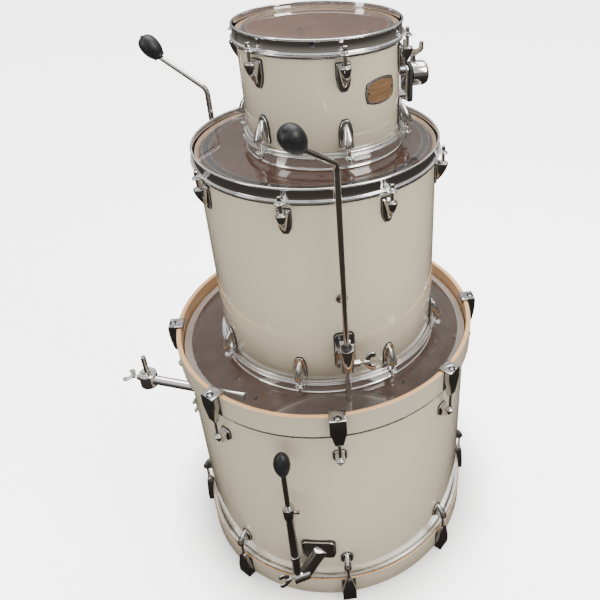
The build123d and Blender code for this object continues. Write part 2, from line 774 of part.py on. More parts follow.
leg_bolt = wing_bolt(rod_r, 28.0, 6.0, 18.0, 10.0)
for i, (angle, turn) in enumerate(zip(leg_angles, leg_turns), start=1):
    axis = (Vector(leg_x, 0, 0).rotate(Axis.Z, angle) + Vector(*floor_at, 0))
    heading = Vector(1, 0, 0).rotate(Axis.Z, turn)
    slope = heading.rotate(Axis((0, 0, 0), Vector(0, 0, 1).cross(heading)), -(90 - leg_tilt))
    knee = Vector(axis.X, axis.Y, leg_bend)
    level = Axis((0, 0, 0), Vector(0, 0, 1).cross(heading))
    foot_way = heading.rotate(level, -(90 - foot_tilt))
    mouth = knee + slope * leg_mouth
    toe = mouth + foot_way * 21
    with BuildPart() as leg:
        with BuildLine():
            FilletPolyline((axis.X, axis.Y, leg_low), knee, knee + slope * (leg_mouth + 8), radius=20)
        with BuildSketch(Plane(origin=(axis.X, axis.Y, leg_low))):
            Circle(leg_r)
        sweep()
    leg.part.label = f"leg_{i}"
    export_step(leg.part, f"parts/leg_{i}.step")

    foot_plane = Plane(origin=toe, x_dir=Vector(0, 0, 1).cross(heading), z_dir=foot_way)
    with BuildPart() as foot:
        with BuildSketch(Plane(origin=toe, x_dir=foot_plane.x_dir, z_dir=foot_plane.x_dir.cross(foot_way))):
            with BuildLine():
                Line((0, -21), (10.5, -21))
                Spline((10.5, -21), (16.8, -5), (15.5, 13), (9.5, 21), tangents=((0.5, 1), (-1, 0.5)))
                Line((9.5, 21), (0, 22))
                Line((0, 22), (0, -21))
            make_face()
        revolve(axis=Axis(toe, foot_way))
        with BuildSketch(Plane(origin=mouth - slope * 6, x_dir=foot_plane.x_dir, z_dir=slope)):
            Circle(leg_r)
        extrude(amount=14, mode=Mode.SUBTRACT)
    foot.part.label = f"leg_foot_{i}"
    export_step(foot.part, f"parts/leg_foot_{i}.step")

    with BuildPart() as leg_wing_bolt:
        with Locations(turned(angle, floor_at)):
            with Locations(Plane(origin=(leg_x, 8.3, bolt_z), x_dir=(0, 0, 1), z_dir=(0, 1, 0))):
                add(leg_bolt)
    leg_wing_bolt.part.label = f"leg_wing_bolt_{i}"
    export_step(leg_wing_bolt.part, f"parts/leg_wing_bolt_{i}.step")

# ---------------------------------------------------------------- rack tom
rack_bores = radial_holes(2.5, rack_r - 15, rack_r + 15,
                          [(0, z + s) for z, k in ((rack_lug_z, 1), (2 * rack_mid - rack_lug_z, -1))
                           for s in (two[0] * k, two[1] * k)])
with BuildPart() as rack_shell:
    with Locations(turned(0, rack_at)):
        add(drum_shell(rack_r, tom_wall, rack_z0, rack_z1))
    with Locations(*rack_locs):
        add(rack_bores, mode=Mode.SUBTRACT)
rack_shell.part.label = "rack_shell"
export_step(rack_shell.part, "parts/rack_shell.step")

with BuildPart() as rack_head_top:
    with Locations(turned(0, rack_at)):
        add(drum_head(rack_r, rack_z1, flange_drop, flange_drop + 6.0, 5.5))
rack_head_top.part.label = "rack_head_top"
export_step(rack_head_top.part, "parts/rack_head_top.step")

with BuildPart() as rack_head_bottom:
    add(mirror(rack_head_top.part, about=rack_mirror))
rack_head_bottom.part.label = "rack_head_bottom"
export_step(rack_head_bottom.part, "parts/rack_head_bottom.step")

with BuildPart() as rack_rim_top:
    with Locations(turned(0, rack_at)):
        add(tom_rim(rack_r, rack_z1, rack_lug_count, rack_lug_start))
rack_rim_top.part.label = "rack_rim_top"
export_step(rack_rim_top.part, "parts/rack_rim_top.step")

with BuildPart() as rack_rim_bottom:
    add(mirror(rack_rim_top.part, about=rack_mirror))
rack_rim_bottom.part.label = "rack_rim_bottom"
export_step(rack_rim_bottom.part, "parts/rack_rim_bottom.step")

rack_lug = lug(rack_r, rack_lug_z, tom_outline, tom_rod_out, 16.0, -14.0, 9.0, two)
with BuildPart() as rack_lugs:
    with Locations(*rack_locs):
        add(rack_lug)
    mirror(about=rack_mirror)
rack_lugs.part.label = "rack_lugs"
export_step(rack_lugs.part, "parts/rack_lugs.step")

rack_pad = lug_gasket(rack_r, rack_lug_z, tom_outline, two)
with BuildPart() as rack_gaskets:
    with Locations(*rack_locs):
        add(rack_pad)
    mirror(about=rack_mirror)
rack_gaskets.part.label = "rack_gaskets"
export_step(rack_gaskets.part, "parts/rack_gaskets.step")

rack_screw = lug_screw(rack_r, tom_wall, rack_lug_z, two)
with BuildPart() as rack_lug_screws:
    with Locations(*rack_locs):
        add(rack_screw)
    mirror(about=rack_mirror)
rack_lug_screws.part.label = "rack_lug_screws"
export_step(rack_lug_screws.part, "parts/rack_lug_screws.step")

rack_rod = tom_rod(rack_r, rack_z1, rack_lug_z, 18.0)
with BuildPart() as rack_tension_rods:
    with Locations(*rack_locs):
        add(rack_rod)
    mirror(about=rack_mirror)
rack_tension_rods.part.label = "rack_tension_rods"
export_step(rack_tension_rods.part, "parts/rack_tension_rods.step")

# badge: arched top and bottom, hollow sides, bent to the shell and held by two pins
badge_z = rack_mid + 11
with BuildPart() as badge_zero:
    with BuildSketch(radial(rack_r - 8, badge_z)) as badge_face:
        with BuildLine():
            ThreePointArc((-28, 14), (0, 19), (28, 14))
            ThreePointArc((28, 14), (31, 0), (28, -14))
            ThreePointArc((28, -14), (0, -19), (-28, -14))
            ThreePointArc((-28, -14), (-31, 0), (-28, 14))
        make_face()
        fillet(badge_face.vertices(), radius=3.0)
    extrude(amount=20)
    with BuildSketch(Plane.XY.offset(badge_z - 40)):
        Circle(rack_r + 1.4)
    extrude(amount=80, mode=Mode.INTERSECT)
    with BuildSketch(radial(rack_r - 4, badge_z)):
        with Locations((-26.5, 0), (26.5, 0)):
            Circle(1.7)
    extrude(amount=4.2)
    with BuildSketch(Plane.XY.offset(badge_z - 40)):
        Circle(rack_r)
    extrude(amount=80, mode=Mode.SUBTRACT)
with BuildPart() as rack_badge:
    with Locations(turned(-45, rack_at)):
        add(badge_zero.part)
rack_badge.part.label = "rack_badge"
export_step(rack_badge.part, "parts/rack_badge.step")

# suspended mount: base plate on two posts, rubber isolator, domed receiver, wing nut
mount_angle = 15.0
mount_z = rack_mid - 18
receiver_z = rack_mid - 5
with BuildPart() as mount_zero:
    with BuildSketch(radial(rack_r - 2, mount_z)):
        with Locations((0, 21), (0, -21)):
            RectangleRounded(26, 12, 4)
    extrude(amount=20)
    with BuildSketch(radial(rack_r + 16, mount_z)):
        RectangleRounded(32, 60, 8)
    extrude(amount=4)
    with BuildSketch(Plane.XY.offset(mount_z - 60)):
        Circle(rack_r)
    extrude(amount=120, mode=Mode.SUBTRACT)
with BuildPart() as mount_base:
    with Locations(turned(mount_angle, rack_at)):
        add(mount_zero.part)
mount_base.part.label = "mount_base"
export_step(mount_base.part, "parts/mount_base.step")

with BuildPart() as isolator_zero:
    with BuildSketch(radial(rack_r + 20, mount_z)):
        RectangleRounded(36, 66, 10)
    extrude(amount=7)
    fillet(isolator_zero.edges().filter_by(GeomType.LINE, reverse=False).filter_by(Axis.X, reverse=True), radius=1.5)
with BuildPart() as mount_isolator:
    with Locations(turned(mount_angle, rack_at)):
        add(isolator_zero.part)
mount_isolator.part.label = "mount_isolator"
export_step(mount_isolator.part, "parts/mount_isolator.step")

receiver_x = rack_r + 27
stud_out = 6.0
stud_rise = 4.5
with BuildPart() as receiver_zero:
    with BuildSketch(radial(receiver_x, receiver_z)):
        Circle(20.5)
    extrude(amount=30)
    fillet(receiver_zero.faces().sort_by(Axis.X)[-1].edges(), radius=8.0)
    with BuildSketch(Plane(origin=(receiver_x + stud_out, 0, receiver_z + 12))):
        Circle(5.5)
    extrude(amount=11)
    with BuildSketch(Plane(origin=(receiver_x + 17, 0, receiver_z - 30))):
        Circle(5.3)
    extrude(amount=60, mode=Mode.SUBTRACT)
    with BuildSketch(Plane(origin=(receiver_x + stud_out, 0, receiver_z + 4))):
        Circle(rod_r + 0.05)
    extrude(amount=40, mode=Mode.SUBTRACT)
with BuildPart() as mount_receiver:
    with Locations(turned(mount_angle, rack_at)):
        add(receiver_zero.part)
mount_receiver.part.label = "mount_receiver"
export_step(mount_receiver.part, "parts/mount_receiver.step")

# flat U-shaped wing nut on its stud
with BuildPart() as wing_zero:
    with BuildSketch():
        Circle(rod_r)
    extrude(amount=31)
    with BuildSketch(Plane.XY.offset(19)):
        Circle(4.6)
    extrude(amount=8)
    with BuildSketch(Plane.YZ):
        Polygon((-6, 26), (6, 26), (14, 32), (18, 37), (18.5, 50), (11.5, 50), (10.5, 40), (5, 36),
                (-5, 36), (-10.5, 40), (-11.5, 50), (-18.5, 50), (-18, 37), (-14, 32), align=None)
    extrude(amount=1.6, both=True)
with BuildPart() as mount_wing_nut:
    with Locations(turned(mount_angle, rack_at)):
        with Locations(Location((receiver_x + stud_out, 0, receiver_z + stud_rise), (0, 0, 45))):
            add(wing_zero.part)
mount_wing_nut.part.label = "mount_wing_nut"
export_step(mount_wing_nut.part, "parts/mount_wing_nut.step")
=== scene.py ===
import bpy
import json
import math
from mathutils import Matrix, Vector

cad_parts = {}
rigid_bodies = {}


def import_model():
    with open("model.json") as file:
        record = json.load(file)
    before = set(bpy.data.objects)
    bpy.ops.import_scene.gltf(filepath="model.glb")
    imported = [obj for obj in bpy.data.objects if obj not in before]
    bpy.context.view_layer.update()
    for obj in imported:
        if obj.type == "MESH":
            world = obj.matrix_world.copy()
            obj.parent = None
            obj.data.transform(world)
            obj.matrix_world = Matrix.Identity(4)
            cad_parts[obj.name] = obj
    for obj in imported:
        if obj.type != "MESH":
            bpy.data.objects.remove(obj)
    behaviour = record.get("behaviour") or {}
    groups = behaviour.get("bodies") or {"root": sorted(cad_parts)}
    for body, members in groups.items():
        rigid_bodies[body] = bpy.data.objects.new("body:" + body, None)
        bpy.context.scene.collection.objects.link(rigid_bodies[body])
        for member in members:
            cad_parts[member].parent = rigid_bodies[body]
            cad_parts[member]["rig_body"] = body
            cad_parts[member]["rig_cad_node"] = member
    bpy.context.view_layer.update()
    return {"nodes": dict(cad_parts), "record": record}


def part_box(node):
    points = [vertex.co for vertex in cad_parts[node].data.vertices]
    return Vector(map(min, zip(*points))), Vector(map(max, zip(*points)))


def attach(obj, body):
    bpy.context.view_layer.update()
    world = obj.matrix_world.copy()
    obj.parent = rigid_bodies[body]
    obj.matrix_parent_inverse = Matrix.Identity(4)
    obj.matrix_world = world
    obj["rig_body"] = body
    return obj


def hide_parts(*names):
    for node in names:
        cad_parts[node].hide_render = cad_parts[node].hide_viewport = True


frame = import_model()
nodes = frame["nodes"]
mm = 0.001
fullTurn = 2 * math.pi
print("frame loaded:", len(nodes), "nodes")


# camera, floor and lights

cameraSetup = {
    "place": (0.0334, -1.0394, 1.3003),
    "turn": 0.0933,          # to the right of +Y, radians
    "dip": 0.5740,           # below level
    "roll": -0.0068,
    "lens": 38.6,
    "shift": (-0.15, -0.0667),
}

lightSetup = {
    "key": {"at": (2.3, -1.7, 2.7), "size": (1.5, 2.0), "watts": 105.0,
            "colour": (1.0, 0.985, 0.95)},
    "side": {"at": (-2.6, -1.2, 1.9), "size": (0.7, 2.0), "watts": 26.0,
             "colour": (1.0, 0.97, 0.93)},
    "overhead": {"at": (0.2, 0.7, 3.2), "size": (2.6, 1.6), "watts": 110.0,
                 "colour": (0.98, 0.985, 1.0)},
}

floorSetup = {"size": 24.0, "colour": (0.92, 0.92, 0.92), "lift": 3.6,
              "under": (0.26, 0.42)}          # the floor's glow fades out below the bass drum: a painted shadow round its base and painted shade inside it


def setCamera(setup):
    data = bpy.data.cameras.new("camera")
    data.lens = setup["lens"]
    data.shift_x, data.shift_y = setup["shift"]
    data.dof.use_dof = False
    data.clip_end = 100
    camera = bpy.data.objects.new("camera", data)
    bpy.context.scene.collection.objects.link(camera)
    camera.matrix_world = (Matrix.Translation(setup["place"])
                           @ Matrix.Rotation(-setup["turn"], 4, "Z")
                           @ Matrix.Rotation(math.pi / 2 - setup["dip"], 4, "X")
                           @ Matrix.Rotation(setup["roll"], 4, "Z"))
    bpy.context.scene.camera = camera


def setLights(setup):
    for name, one in setup.items():
        data = bpy.data.lights.new(name, "AREA")
        data.shape = "RECTANGLE"
        data.size, data.size_y = one["size"]
        data.energy = one["watts"]
        data.color = one["colour"]
        lamp = bpy.data.objects.new(name, data)
        bpy.context.scene.collection.objects.link(lamp)
        lamp.location = one["at"]
        toKit = Vector((0, 0, 0.6)) - lamp.location
        lamp.rotation_euler = toKit.to_track_quat("-Z", "Y").to_euler()


# shader wiring

class Signal:                                   # a value on its way through a material
    def __init__(self, finish, socket):
        self.finish = finish
        self.socket = socket

    def maths(self, operation, first, second=0.0):
        return self.finish.node("ShaderNodeMath", {"operation": operation}, {0: first, 1: second})

    def __add__(self, other):
        return self.maths("ADD", self, other)

    def __sub__(self, other):
        return self.maths("SUBTRACT", self, other)

    def __rsub__(self, other):
        return self.maths("SUBTRACT", other, self)

    def __mul__(self, other):
        return self.maths("MULTIPLY", self, other)

    def __truediv__(self, other):
        return self.maths("DIVIDE", self, other)

    def fraction(self):
        return self.maths("FRACT", self)

    __radd__ = __add__
    __rmul__ = __mul__


class Finish:                                   # one material and what it is wired from
    def __init__(self, name):
        self.material = bpy.data.materials.new(name)
        self.material.use_nodes = True
        self.tree = self.material.node_tree
        self.tree.nodes.clear()

    def node(self, kind, settings=None, sockets=None, output=0):
        made = self.tree.nodes.new(kind)
        for key, value in (settings or {}).items():
            if key == "stops":
                while len(made.color_ramp.elements) < len(value):
                    made.color_ramp.elements.new(0.5)
                for element, (place, colour) in zip(made.color_ramp.elements, value):
                    element.position = place
                    element.color = (*colour, 1)
            else:
                setattr(made, key, value)
        for key, value in (sockets or {}).items():
            if isinstance(value, Signal):
                self.tree.links.new(value.socket, made.inputs[key])
            else:
                made.inputs[key].default_value = value
        return Signal(self, made.outputs[output]) if made.outputs else None

    def place(self):
        return self.node("ShaderNodeTexCoord", output="Object")

    def stretched(self, scale):
        return self.node("ShaderNodeMapping", sockets={"Vector": self.place(), "Scale": scale})

    def noise(self, scale, detail=3.0, rough=0.5, vector=None):
        sockets = {"Vector": vector or self.place(), "Scale": scale, "Detail": detail,
                   "Roughness": rough}
        return self.node("ShaderNodeTexNoise", sockets=sockets)

    def ramp(self, value, stops):
        return self.node("ShaderNodeValToRGB", {"stops": stops}, {"Fac": value})

    def span(self, value, low, high, start=0.0, end=1.0):
        return self.node("ShaderNodeMapRange", {"interpolation_type": "SMOOTHSTEP"},
                         {"Value": value, "From Min": low, "From Max": high,
                          "To Min": start, "To Max": end})

    def mix(self, share, first, second):
        return self.node("ShaderNodeMix", {"data_type": "RGBA"},
                         {"Factor": share, 6: first, 7: second}, 2)

    def bump(self, height, strength, depth):
        return self.node("ShaderNodeBump", sockets={"Height": height, "Strength": strength,
                                                    "Distance": depth})

    def fromAxis(self, axis):                   # distance from an upright axis, in metres
        away = self.node("ShaderNodeVectorMath", {"operation": "SUBTRACT"},
                         {0: self.place(), 1: (*axis, 0.0)})
        flat = self.node("ShaderNodeVectorMath", {"operation": "MULTIPLY"},
                         {0: away, 1: (1.0, 1.0, 0.0)})
        return self.node("ShaderNodeVectorMath", {"operation": "LENGTH"}, {0: flat}, "Value")

    def principled(self, **sockets):
        named = {key.replace("_", " "): value for key, value in sockets.items()}
        return self.node("ShaderNodeBsdfPrincipled", sockets=named)

    def done(self, shader):
        self.node("ShaderNodeOutputMaterial", sockets={"Surface": shader})
        return self.material


lacquerSetup = {
    "shell": ((0.300, 0.262, 0.190), 0.16),
    "hoop": ((0.255, 0.221, 0.160), 0.30),
    "peel": 0.012,           # orange peel of the sprayed coat
}


def lacquer(name, colour, rough, coat):
    finish = Finish(name)
    cloud = finish.noise(2.6, 2.0)
    deeper = tuple(c * 0.955 for c in colour)
    paint = finish.mix(cloud, (*deeper, 1), (*colour, 1))
    peel = finish.bump(finish.noise(420.0, 2.0), lacquerSetup["peel"], 0.0006)
    uneven = finish.noise(9.0) * 0.08 + (rough - 0.04)
    return finish.done(finish.principled(Base_Color=paint, Roughness=uneven, Coat_Weight=coat,
                                         Coat_Roughness=0.035, Coat_IOR=1.5, Normal=peel))


def chrome(name, colour, low, high, ripple, scale):
    # plated metal: faint clouding of the polish and a slow ripple of the casting below it
    finish = Finish(name)
    polish = finish.noise(scale, 4.0, 0.6)
    duller = tuple(c * 0.90 for c in colour)
    metal = finish.mix(polish, (*colour, 1), (*duller, 1))
    relief = finish.bump(finish.noise(scale * 0.7, 2.0), ripple, 0.0012)
    return finish.done(finish.principled(Base_Color=metal, Metallic=1.0, Normal=relief,
                                         Roughness=finish.span(polish, 0.3, 0.7, low, high)))


def rubber(name, colour, rough, grain):
    finish = Finish(name)
    speck = finish.noise(grain, 5.0, 0.7)
    lighter = tuple(c * 1.9 + 0.004 for c in colour)
    skin = finish.mix(finish.span(speck, 0.45, 0.75), (*colour, 1), (*lighter, 1))
    uneven = finish.noise(60.0) * 0.16 + (rough - 0.08)
    return finish.done(finish.principled(Base_Color=skin, Roughness=uneven, Specular_IOR_Level=0.4,
                                         Normal=finish.bump(speck, 0.12, 0.0003)))


def veneer(name, pale, dark, rough, along):
    # wood grain running round the drum; along stretches it
    finish = Finish(name)
    wavy = finish.noise(3.0, 2.0, 0.5, finish.stretched(along))
    fine = finish.noise(26.0, 8.0, 0.68, finish.stretched(along))
    pores = finish.noise(150.0, 4.0, 0.6, finish.stretched(along))
    between = tuple((a + b) / 2 for a, b in zip(pale, dark))
    tone = finish.ramp(fine * 0.72 + wavy * 0.28, [(0.30, dark), (0.52, between), (0.74, pale)])
    poreColour = (*[c * 0.45 for c in dark], 1)
    darker = finish.mix(finish.span(pores, 0.60, 0.72, 0.0, 0.5), tone, poreColour)
    uneven = finish.span(pores, 0.4, 0.7, rough, rough + 0.15)
    return finish.done(finish.principled(Base_Color=darker, Roughness=uneven, Coat_Weight=0.25,
                                         Coat_Roughness=0.22,
                                         Normal=finish.bump(fine, 0.10, 0.0005)))


def plies(name, axis, pale, dark, thickness):
    # end of the plywood: rings of lighter and darker plies
    finish = Finish(name)
    fibre = finish.noise(380.0, 4.0, 0.6)
    layer = (finish.fromAxis(axis) / thickness + fibre * 0.16).fraction()
    nearlyPale = tuple(c * 0.93 for c in pale)
    colour = finish.ramp(layer, [(0.0, dark), (0.08, pale), (0.50, pale), (0.58, dark),
                                 (0.66, nearlyPale)])
    grained = finish.mix(finish.span(fibre, 0.5, 0.8, 0.0, 0.35), colour, (*dark, 1))
    return finish.done(finish.principled(Base_Color=grained, Roughness=0.42, Coat_Weight=0.5,
                                         Coat_Roughness=0.12,
                                         Normal=finish.bump(fibre, 0.08, 0.0004)))


filmSetup = {
    "bass": {"haze": 0.055, "ring": (0.2650, 0.2780), "ringHaze": 0.42,
             "ringColour": (0.62, 0.56, 0.52)},
    "floor": {"haze": 0.020, "ring": (0.1790, 0.1905), "ringHaze": 0.88,
              "ringColour": (0.020, 0.018, 0.018)},
    "rack": {"haze": 0.020, "ring": (0.1105, 0.1180), "ringHaze": 0.72,
             "ringColour": (0.035, 0.03, 0.03)},
    "soft": 0.0007,          # the ring's edges fade over this
}


def clearFilm(name, axis, setup):
    # clear polyester: see-through, glossier at a grazing look, a control ring laid near its edge
    finish = Finish(name)
    out = finish.fromAxis(axis)
    low, high = setup["ring"]
    edge = filmSetup["soft"]
    ring = (finish.span(out, low - edge, low + edge)
            * (1 - finish.span(out, high - edge, high + edge)))
    scuff = finish.noise(34.0, 6.0, 0.62)
    worn = finish.span(scuff, 0.42, 0.80, 0.75, 1.5)
    share = ring * setup["ringHaze"] + (1 - ring) * worn * setup["haze"]
    colour = finish.mix(ring, (0.62, 0.60, 0.58, 1), (*setup["ringColour"], 1))
    wave = finish.bump(finish.noise(7.0, 2.0), 0.05, 0.004)
    haze = finish.principled(Base_Color=colour, Roughness=0.5, Specular_IOR_Level=0.1, Normal=wave)
    clear = finish.node("ShaderNodeBsdfTransparent", sockets={"Color": (0.93, 0.92, 0.91, 1)})
    veil = finish.node("ShaderNodeMixShader", sockets={0: share, 1: clear, 2: haze})
    shine = finish.node("ShaderNodeBsdfGlossy", sockets={"Color": (1, 1, 1, 1), "Roughness": 0.035,
                                                         "Normal": wave})
    glare = finish.node("ShaderNodeFresnel", sockets={"IOR": 1.5, "Normal": wave})
    share = glare * 0.8
    return finish.done(finish.node("ShaderNodeMixShader", sockets={0: share, 1: veil, 2: shine}))


def clearUnderside(name):
    # the film's inner face: faintly smoked, with no shine of its own
    finish = Finish(name)
    clear = finish.node("ShaderNodeBsdfTransparent", sockets={"Color": (0.97, 0.965, 0.96, 1)})
    dust = finish.principled(Base_Color=(0.6, 0.57, 0.54, 1), Roughness=0.4)
    share = finish.noise(40.0) * 0.012
    return finish.done(finish.node("ShaderNodeMixShader", sockets={0: share, 1: clear, 2: dust}))


def bronzeFace(name):
    # badge face: brown metal brushed along its width
    finish = Finish(name)
    brushed = finish.noise(22.0, 8.0, 0.7, finish.stretched((1.0, 1.0, 22.0)))
    colour = finish.ramp(brushed, [(0.30, (0.085, 0.042, 0.018)), (0.5, (0.17, 0.095, 0.045)),
                                   (0.72, (0.28, 0.17, 0.085))])
    return finish.done(finish.principled(Base_Color=colour, Metallic=0.55,
                                         Roughness=brushed * 0.2 + 0.28,
                                         Normal=finish.bump(brushed, 0.15, 0.0003)))


def paleFloor(setup):
    bpy.ops.object.select_all(action="DESELECT")
    bpy.ops.mesh.primitive_plane_add(size=setup["size"], location=(0, 0, 0))
    ground = bpy.context.object
    ground.name = "ground"
    finish = Finish("ground")
    duller = (*[c * 0.985 for c in setup["colour"]], 1)
    tone = finish.mix(finish.noise(1.5, 2.0), (*setup["colour"], 1), duller)
    # the floor's glow is taken away below the bass drum: a painted shadow round its base, which also
    # darkens the drum's inside seen through the heads
    beyondPaintedShade = finish.span(finish.fromAxis((0.0, 0.0)), *setup["under"])
    glowLessPaintedShade = finish.mix(beyondPaintedShade, (0, 0, 0, 1), tone)
    surface = finish.principled(Base_Color=tone, Roughness=0.85, Emission_Color=glowLessPaintedShade,
                                Emission_Strength=setup["lift"])
    ground.data.materials.append(finish.done(surface))
    ground.visible_glossy = False               # the chrome sees the dim room below instead


roomSetup = {
    "behind": (3.6, 3.6, 3.6),
    "stops": [(0.0, (0.035, 0.030, 0.026)), (0.34, (0.07, 0.06, 0.052)), (0.47, (0.30, 0.27, 0.24)),
              (0.53, (0.09, 0.08, 0.075)), (0.62, (0.50, 0.49, 0.47)), (0.72, (1.35, 1.34, 1.32)),
              (0.86, (0.75, 0.75, 0.76)), (1.0, (1.7, 1.7, 1.72))],   # straight down to straight up
    "strength": 1.0,
}


def setRoom(setup):
    # soft room light: dim below the horizon, bright overhead, plain pale past the floor's edge
    world = bpy.data.worlds.new("room")
    world.use_nodes = True
    tree = world.node_tree
    tree.nodes.clear()
    bpy.context.scene.world = world
    direction = tree.nodes.new("ShaderNodeTexCoord")
    parts = tree.nodes.new("ShaderNodeSeparateXYZ")
    half = tree.nodes.new("ShaderNodeMath")
    half.operation = "MULTIPLY_ADD"
    half.inputs[1].default_value = 0.5
    half.inputs[2].default_value = 0.5
    ramp = tree.nodes.new("ShaderNodeValToRGB")
    while len(ramp.color_ramp.elements) < len(setup["stops"]):
        ramp.color_ramp.elements.new(0.5)
    for element, (place, colour) in zip(ramp.color_ramp.elements, setup["stops"]):
        element.position = place
        element.color = (*colour, 1)
    look = tree.nodes.new("ShaderNodeLightPath")
    mix = tree.nodes.new("ShaderNodeMix")
    mix.data_type = "RGBA"
    mix.inputs[7].default_value = (*setup["behind"], 1)
    sky = tree.nodes.new("ShaderNodeBackground")
    sky.inputs["Strength"].default_value = setup["strength"]
    out = tree.nodes.new("ShaderNodeOutputWorld")
    tree.links.new(direction.outputs["Generated"], parts.inputs[0])
    tree.links.new(parts.outputs["Z"], half.inputs[0])
    tree.links.new(half.outputs[0], ramp.inputs[0])
    tree.links.new(ramp.outputs[0], mix.inputs[6])
    tree.links.new(look.outputs["Is Camera Ray"], mix.inputs[0])
    tree.links.new(mix.outputs[2], sky.inputs["Color"])
    tree.links.new(sky.outputs[0], out.inputs["Surface"])


setCamera(cameraSetup)
setLights(lightSetup)
setRoom(roomSetup)
paleFloor(floorSetup)
print("camera, lights and floor set")


# the drums' places, read from the frame

def boxOf(node):
    low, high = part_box(node)
    return low / mm, high / mm


def drumPlace(shell):
    low, high = boxOf(shell)
    return {"axis": ((low.x + high.x) / 2, (low.y + high.y) / 2), "r": (high.x - low.x) / 2,
            "low": low.z, "high": high.z}


bass = drumPlace("bass_shell")
floorTom = drumPlace("floor_shell")
rackTom = drumPlace("rack_shell")
bass.update(name="bass", body="bass_drum", wall=7.5, lugs=8, start=-87.0)
floorTom.update(name="floor", body="floor_tom", wall=6.0, lugs=8, start=-104.5)
rackTom.update(name="rack", body="rack_tom", wall=6.0, lugs=6, start=-75.0)
drums = (bass, floorTom, rackTom)


def axisOf(drum):
    return tuple(c * mm for c in drum["axis"])


shellLacquer = lacquer("shellLacquer", *lacquerSetup["shell"], coat=1.0)
hoopLacquer = lacquer("hoopLacquer", *lacquerSetup["hoop"], coat=0.55)
innerBirch = veneer("innerBirch", (0.70, 0.45, 0.31), (0.45, 0.255, 0.165), 0.42, (1.0, 1.0, 16.0))
hoopMaple = veneer("hoopMaple", (0.74, 0.46, 0.24), (0.55, 0.31, 0.14), 0.30, (1.0, 1.0, 14.0))
brightChrome = chrome("brightChrome", (0.76, 0.755, 0.745), 0.035, 0.085, 0.05, 30.0)
castChrome = chrome("castChrome", (0.62, 0.61, 0.60), 0.05, 0.14, 0.16, 75.0)
steelChrome = chrome("steelChrome", (0.50, 0.49, 0.475), 0.09, 0.17, 0.06, 60.0)
clawChrome = chrome("clawChrome", (0.47, 0.46, 0.455), 0.06, 0.15, 0.14, 80.0)
blackRubber = rubber("blackRubber", (0.0045, 0.0045, 0.005), 0.42, 260.0)
gasketRubber = rubber("gasketRubber", (0.010, 0.010, 0.011), 0.62, 320.0)
nylon = rubber("nylon", (0.016, 0.016, 0.017), 0.36, 180.0)
filmUnderside = clearUnderside("filmUnderside")
aluminium = chrome("aluminium", (0.80, 0.80, 0.79), 0.24, 0.32, 0.01, 40.0)
badgeBronze = bronzeFace("badgeBronze")
print("finishes mixed")


# modelling by hand

def deselect():
    bpy.ops.object.select_all(action="DESELECT")


def pick(*chosen):
    deselect()
    for piece in chosen:
        piece.select_set(True)
    bpy.context.view_layer.objects.active = chosen[0]


def edit(on=True):
    bpy.ops.object.mode_set(mode="EDIT" if on else "OBJECT")


def added(name):                                # the primitive just added, its place in its mesh
    piece = bpy.context.object
    piece.name = name
    piece.data.name = name
    bpy.ops.object.transform_apply(location=True, rotation=True, scale=True)
    return piece


def traced(name, points, close=True):           # one vertex extruded along a line, in edit mode
    deselect()
    bpy.ops.mesh.primitive_plane_add(size=0.001, location=(0, 0, 0))
    piece = added(name)
    edit()
    bpy.ops.mesh.merge(type="CENTER")
    path = [Vector(point) * mm for point in points]
    bpy.ops.transform.translate(value=path[0])
    for before, after in zip(path, path[1:] + (path[:1] if close else [])):
        bpy.ops.mesh.extrude_vertices_move(TRANSFORM_OT_translate={"value": after - before})
    bpy.ops.mesh.select_all(action="SELECT")
    bpy.ops.mesh.remove_doubles(threshold=1e-6)
    return piece


def lathed(name, profile, axis=(0.0, 0.0), steps=160):
    # a profile of (radius, height) spun about an upright axis
    onAxis = profile[0][0] == 0
    piece = traced(name, [(axis[0] + r, axis[1], z) for r, z in profile], close=not onAxis)
    bpy.ops.mesh.spin(steps=steps, angle=fullTurn, center=(axis[0] * mm, axis[1] * mm, 0),
                      axis=(0, 0, 1))
    bpy.ops.mesh.select_all(action="SELECT")
    bpy.ops.mesh.remove_doubles(threshold=2e-6)
    bpy.ops.mesh.delete_loose()
    bpy.ops.mesh.select_all(action="SELECT")
    bpy.ops.mesh.normals_make_consistent(inside=False)
    edit(False)
    return piece


def slab(name, outline, depth, corner=0.0):
    # an outline filled, its corners rounded, and pulled out by depth
    piece = traced(name, outline)
    bpy.ops.mesh.edge_face_add()
    if corner:
        bpy.ops.mesh.bevel(offset=corner * mm, segments=4, affect="VERTICES")
        bpy.ops.mesh.select_all(action="SELECT")
    bpy.ops.mesh.extrude_region_move(TRANSFORM_OT_translate={"value": Vector(depth) * mm})
    bpy.ops.mesh.select_all(action="SELECT")
    bpy.ops.mesh.normals_make_consistent(inside=False)
    edit(False)
    return piece


def rod(name, radius, start, end, sides=24):    # a straight round bar between two points
    start, end = Vector(start), Vector(end)
    deselect()
    turn = (end - start).to_track_quat("Z", "Y").to_euler()
    bpy.ops.mesh.primitive_cylinder_add(vertices=sides, radius=radius * mm,
                                        depth=(end - start).length * mm,
                                        location=(start + end) / 2 * mm, rotation=turn)
    return added(name)


def softened(piece, width, segments=2, angle=30):
    pick(piece)
    bevel = piece.modifiers.new("soft", "BEVEL")
    bevel.width = width * mm
    bevel.segments = segments
    bevel.limit_method = "ANGLE"
    bevel.angle_limit = math.radians(angle)
    bpy.ops.object.modifier_apply(modifier="soft")
    return smoothed(piece)


def smoothed(piece, angle=38):
    pick(piece)
    bpy.ops.object.shade_smooth_by_angle(angle=math.radians(angle))
    return piece


def combined(piece, shape, operation):
    pick(piece)
    tool = piece.modifiers.new("combine", "BOOLEAN")
    tool.operation = operation
    tool.object = shape
    bpy.ops.object.modifier_apply(modifier="combine")
    bpy.data.objects.remove(shape)
    return piece


def cut(piece, cutter):
    return combined(piece, cutter, "DIFFERENCE")


def kept(piece, shape):                         # keeps only what lies inside shape
    return combined(piece, shape, "INTERSECT")


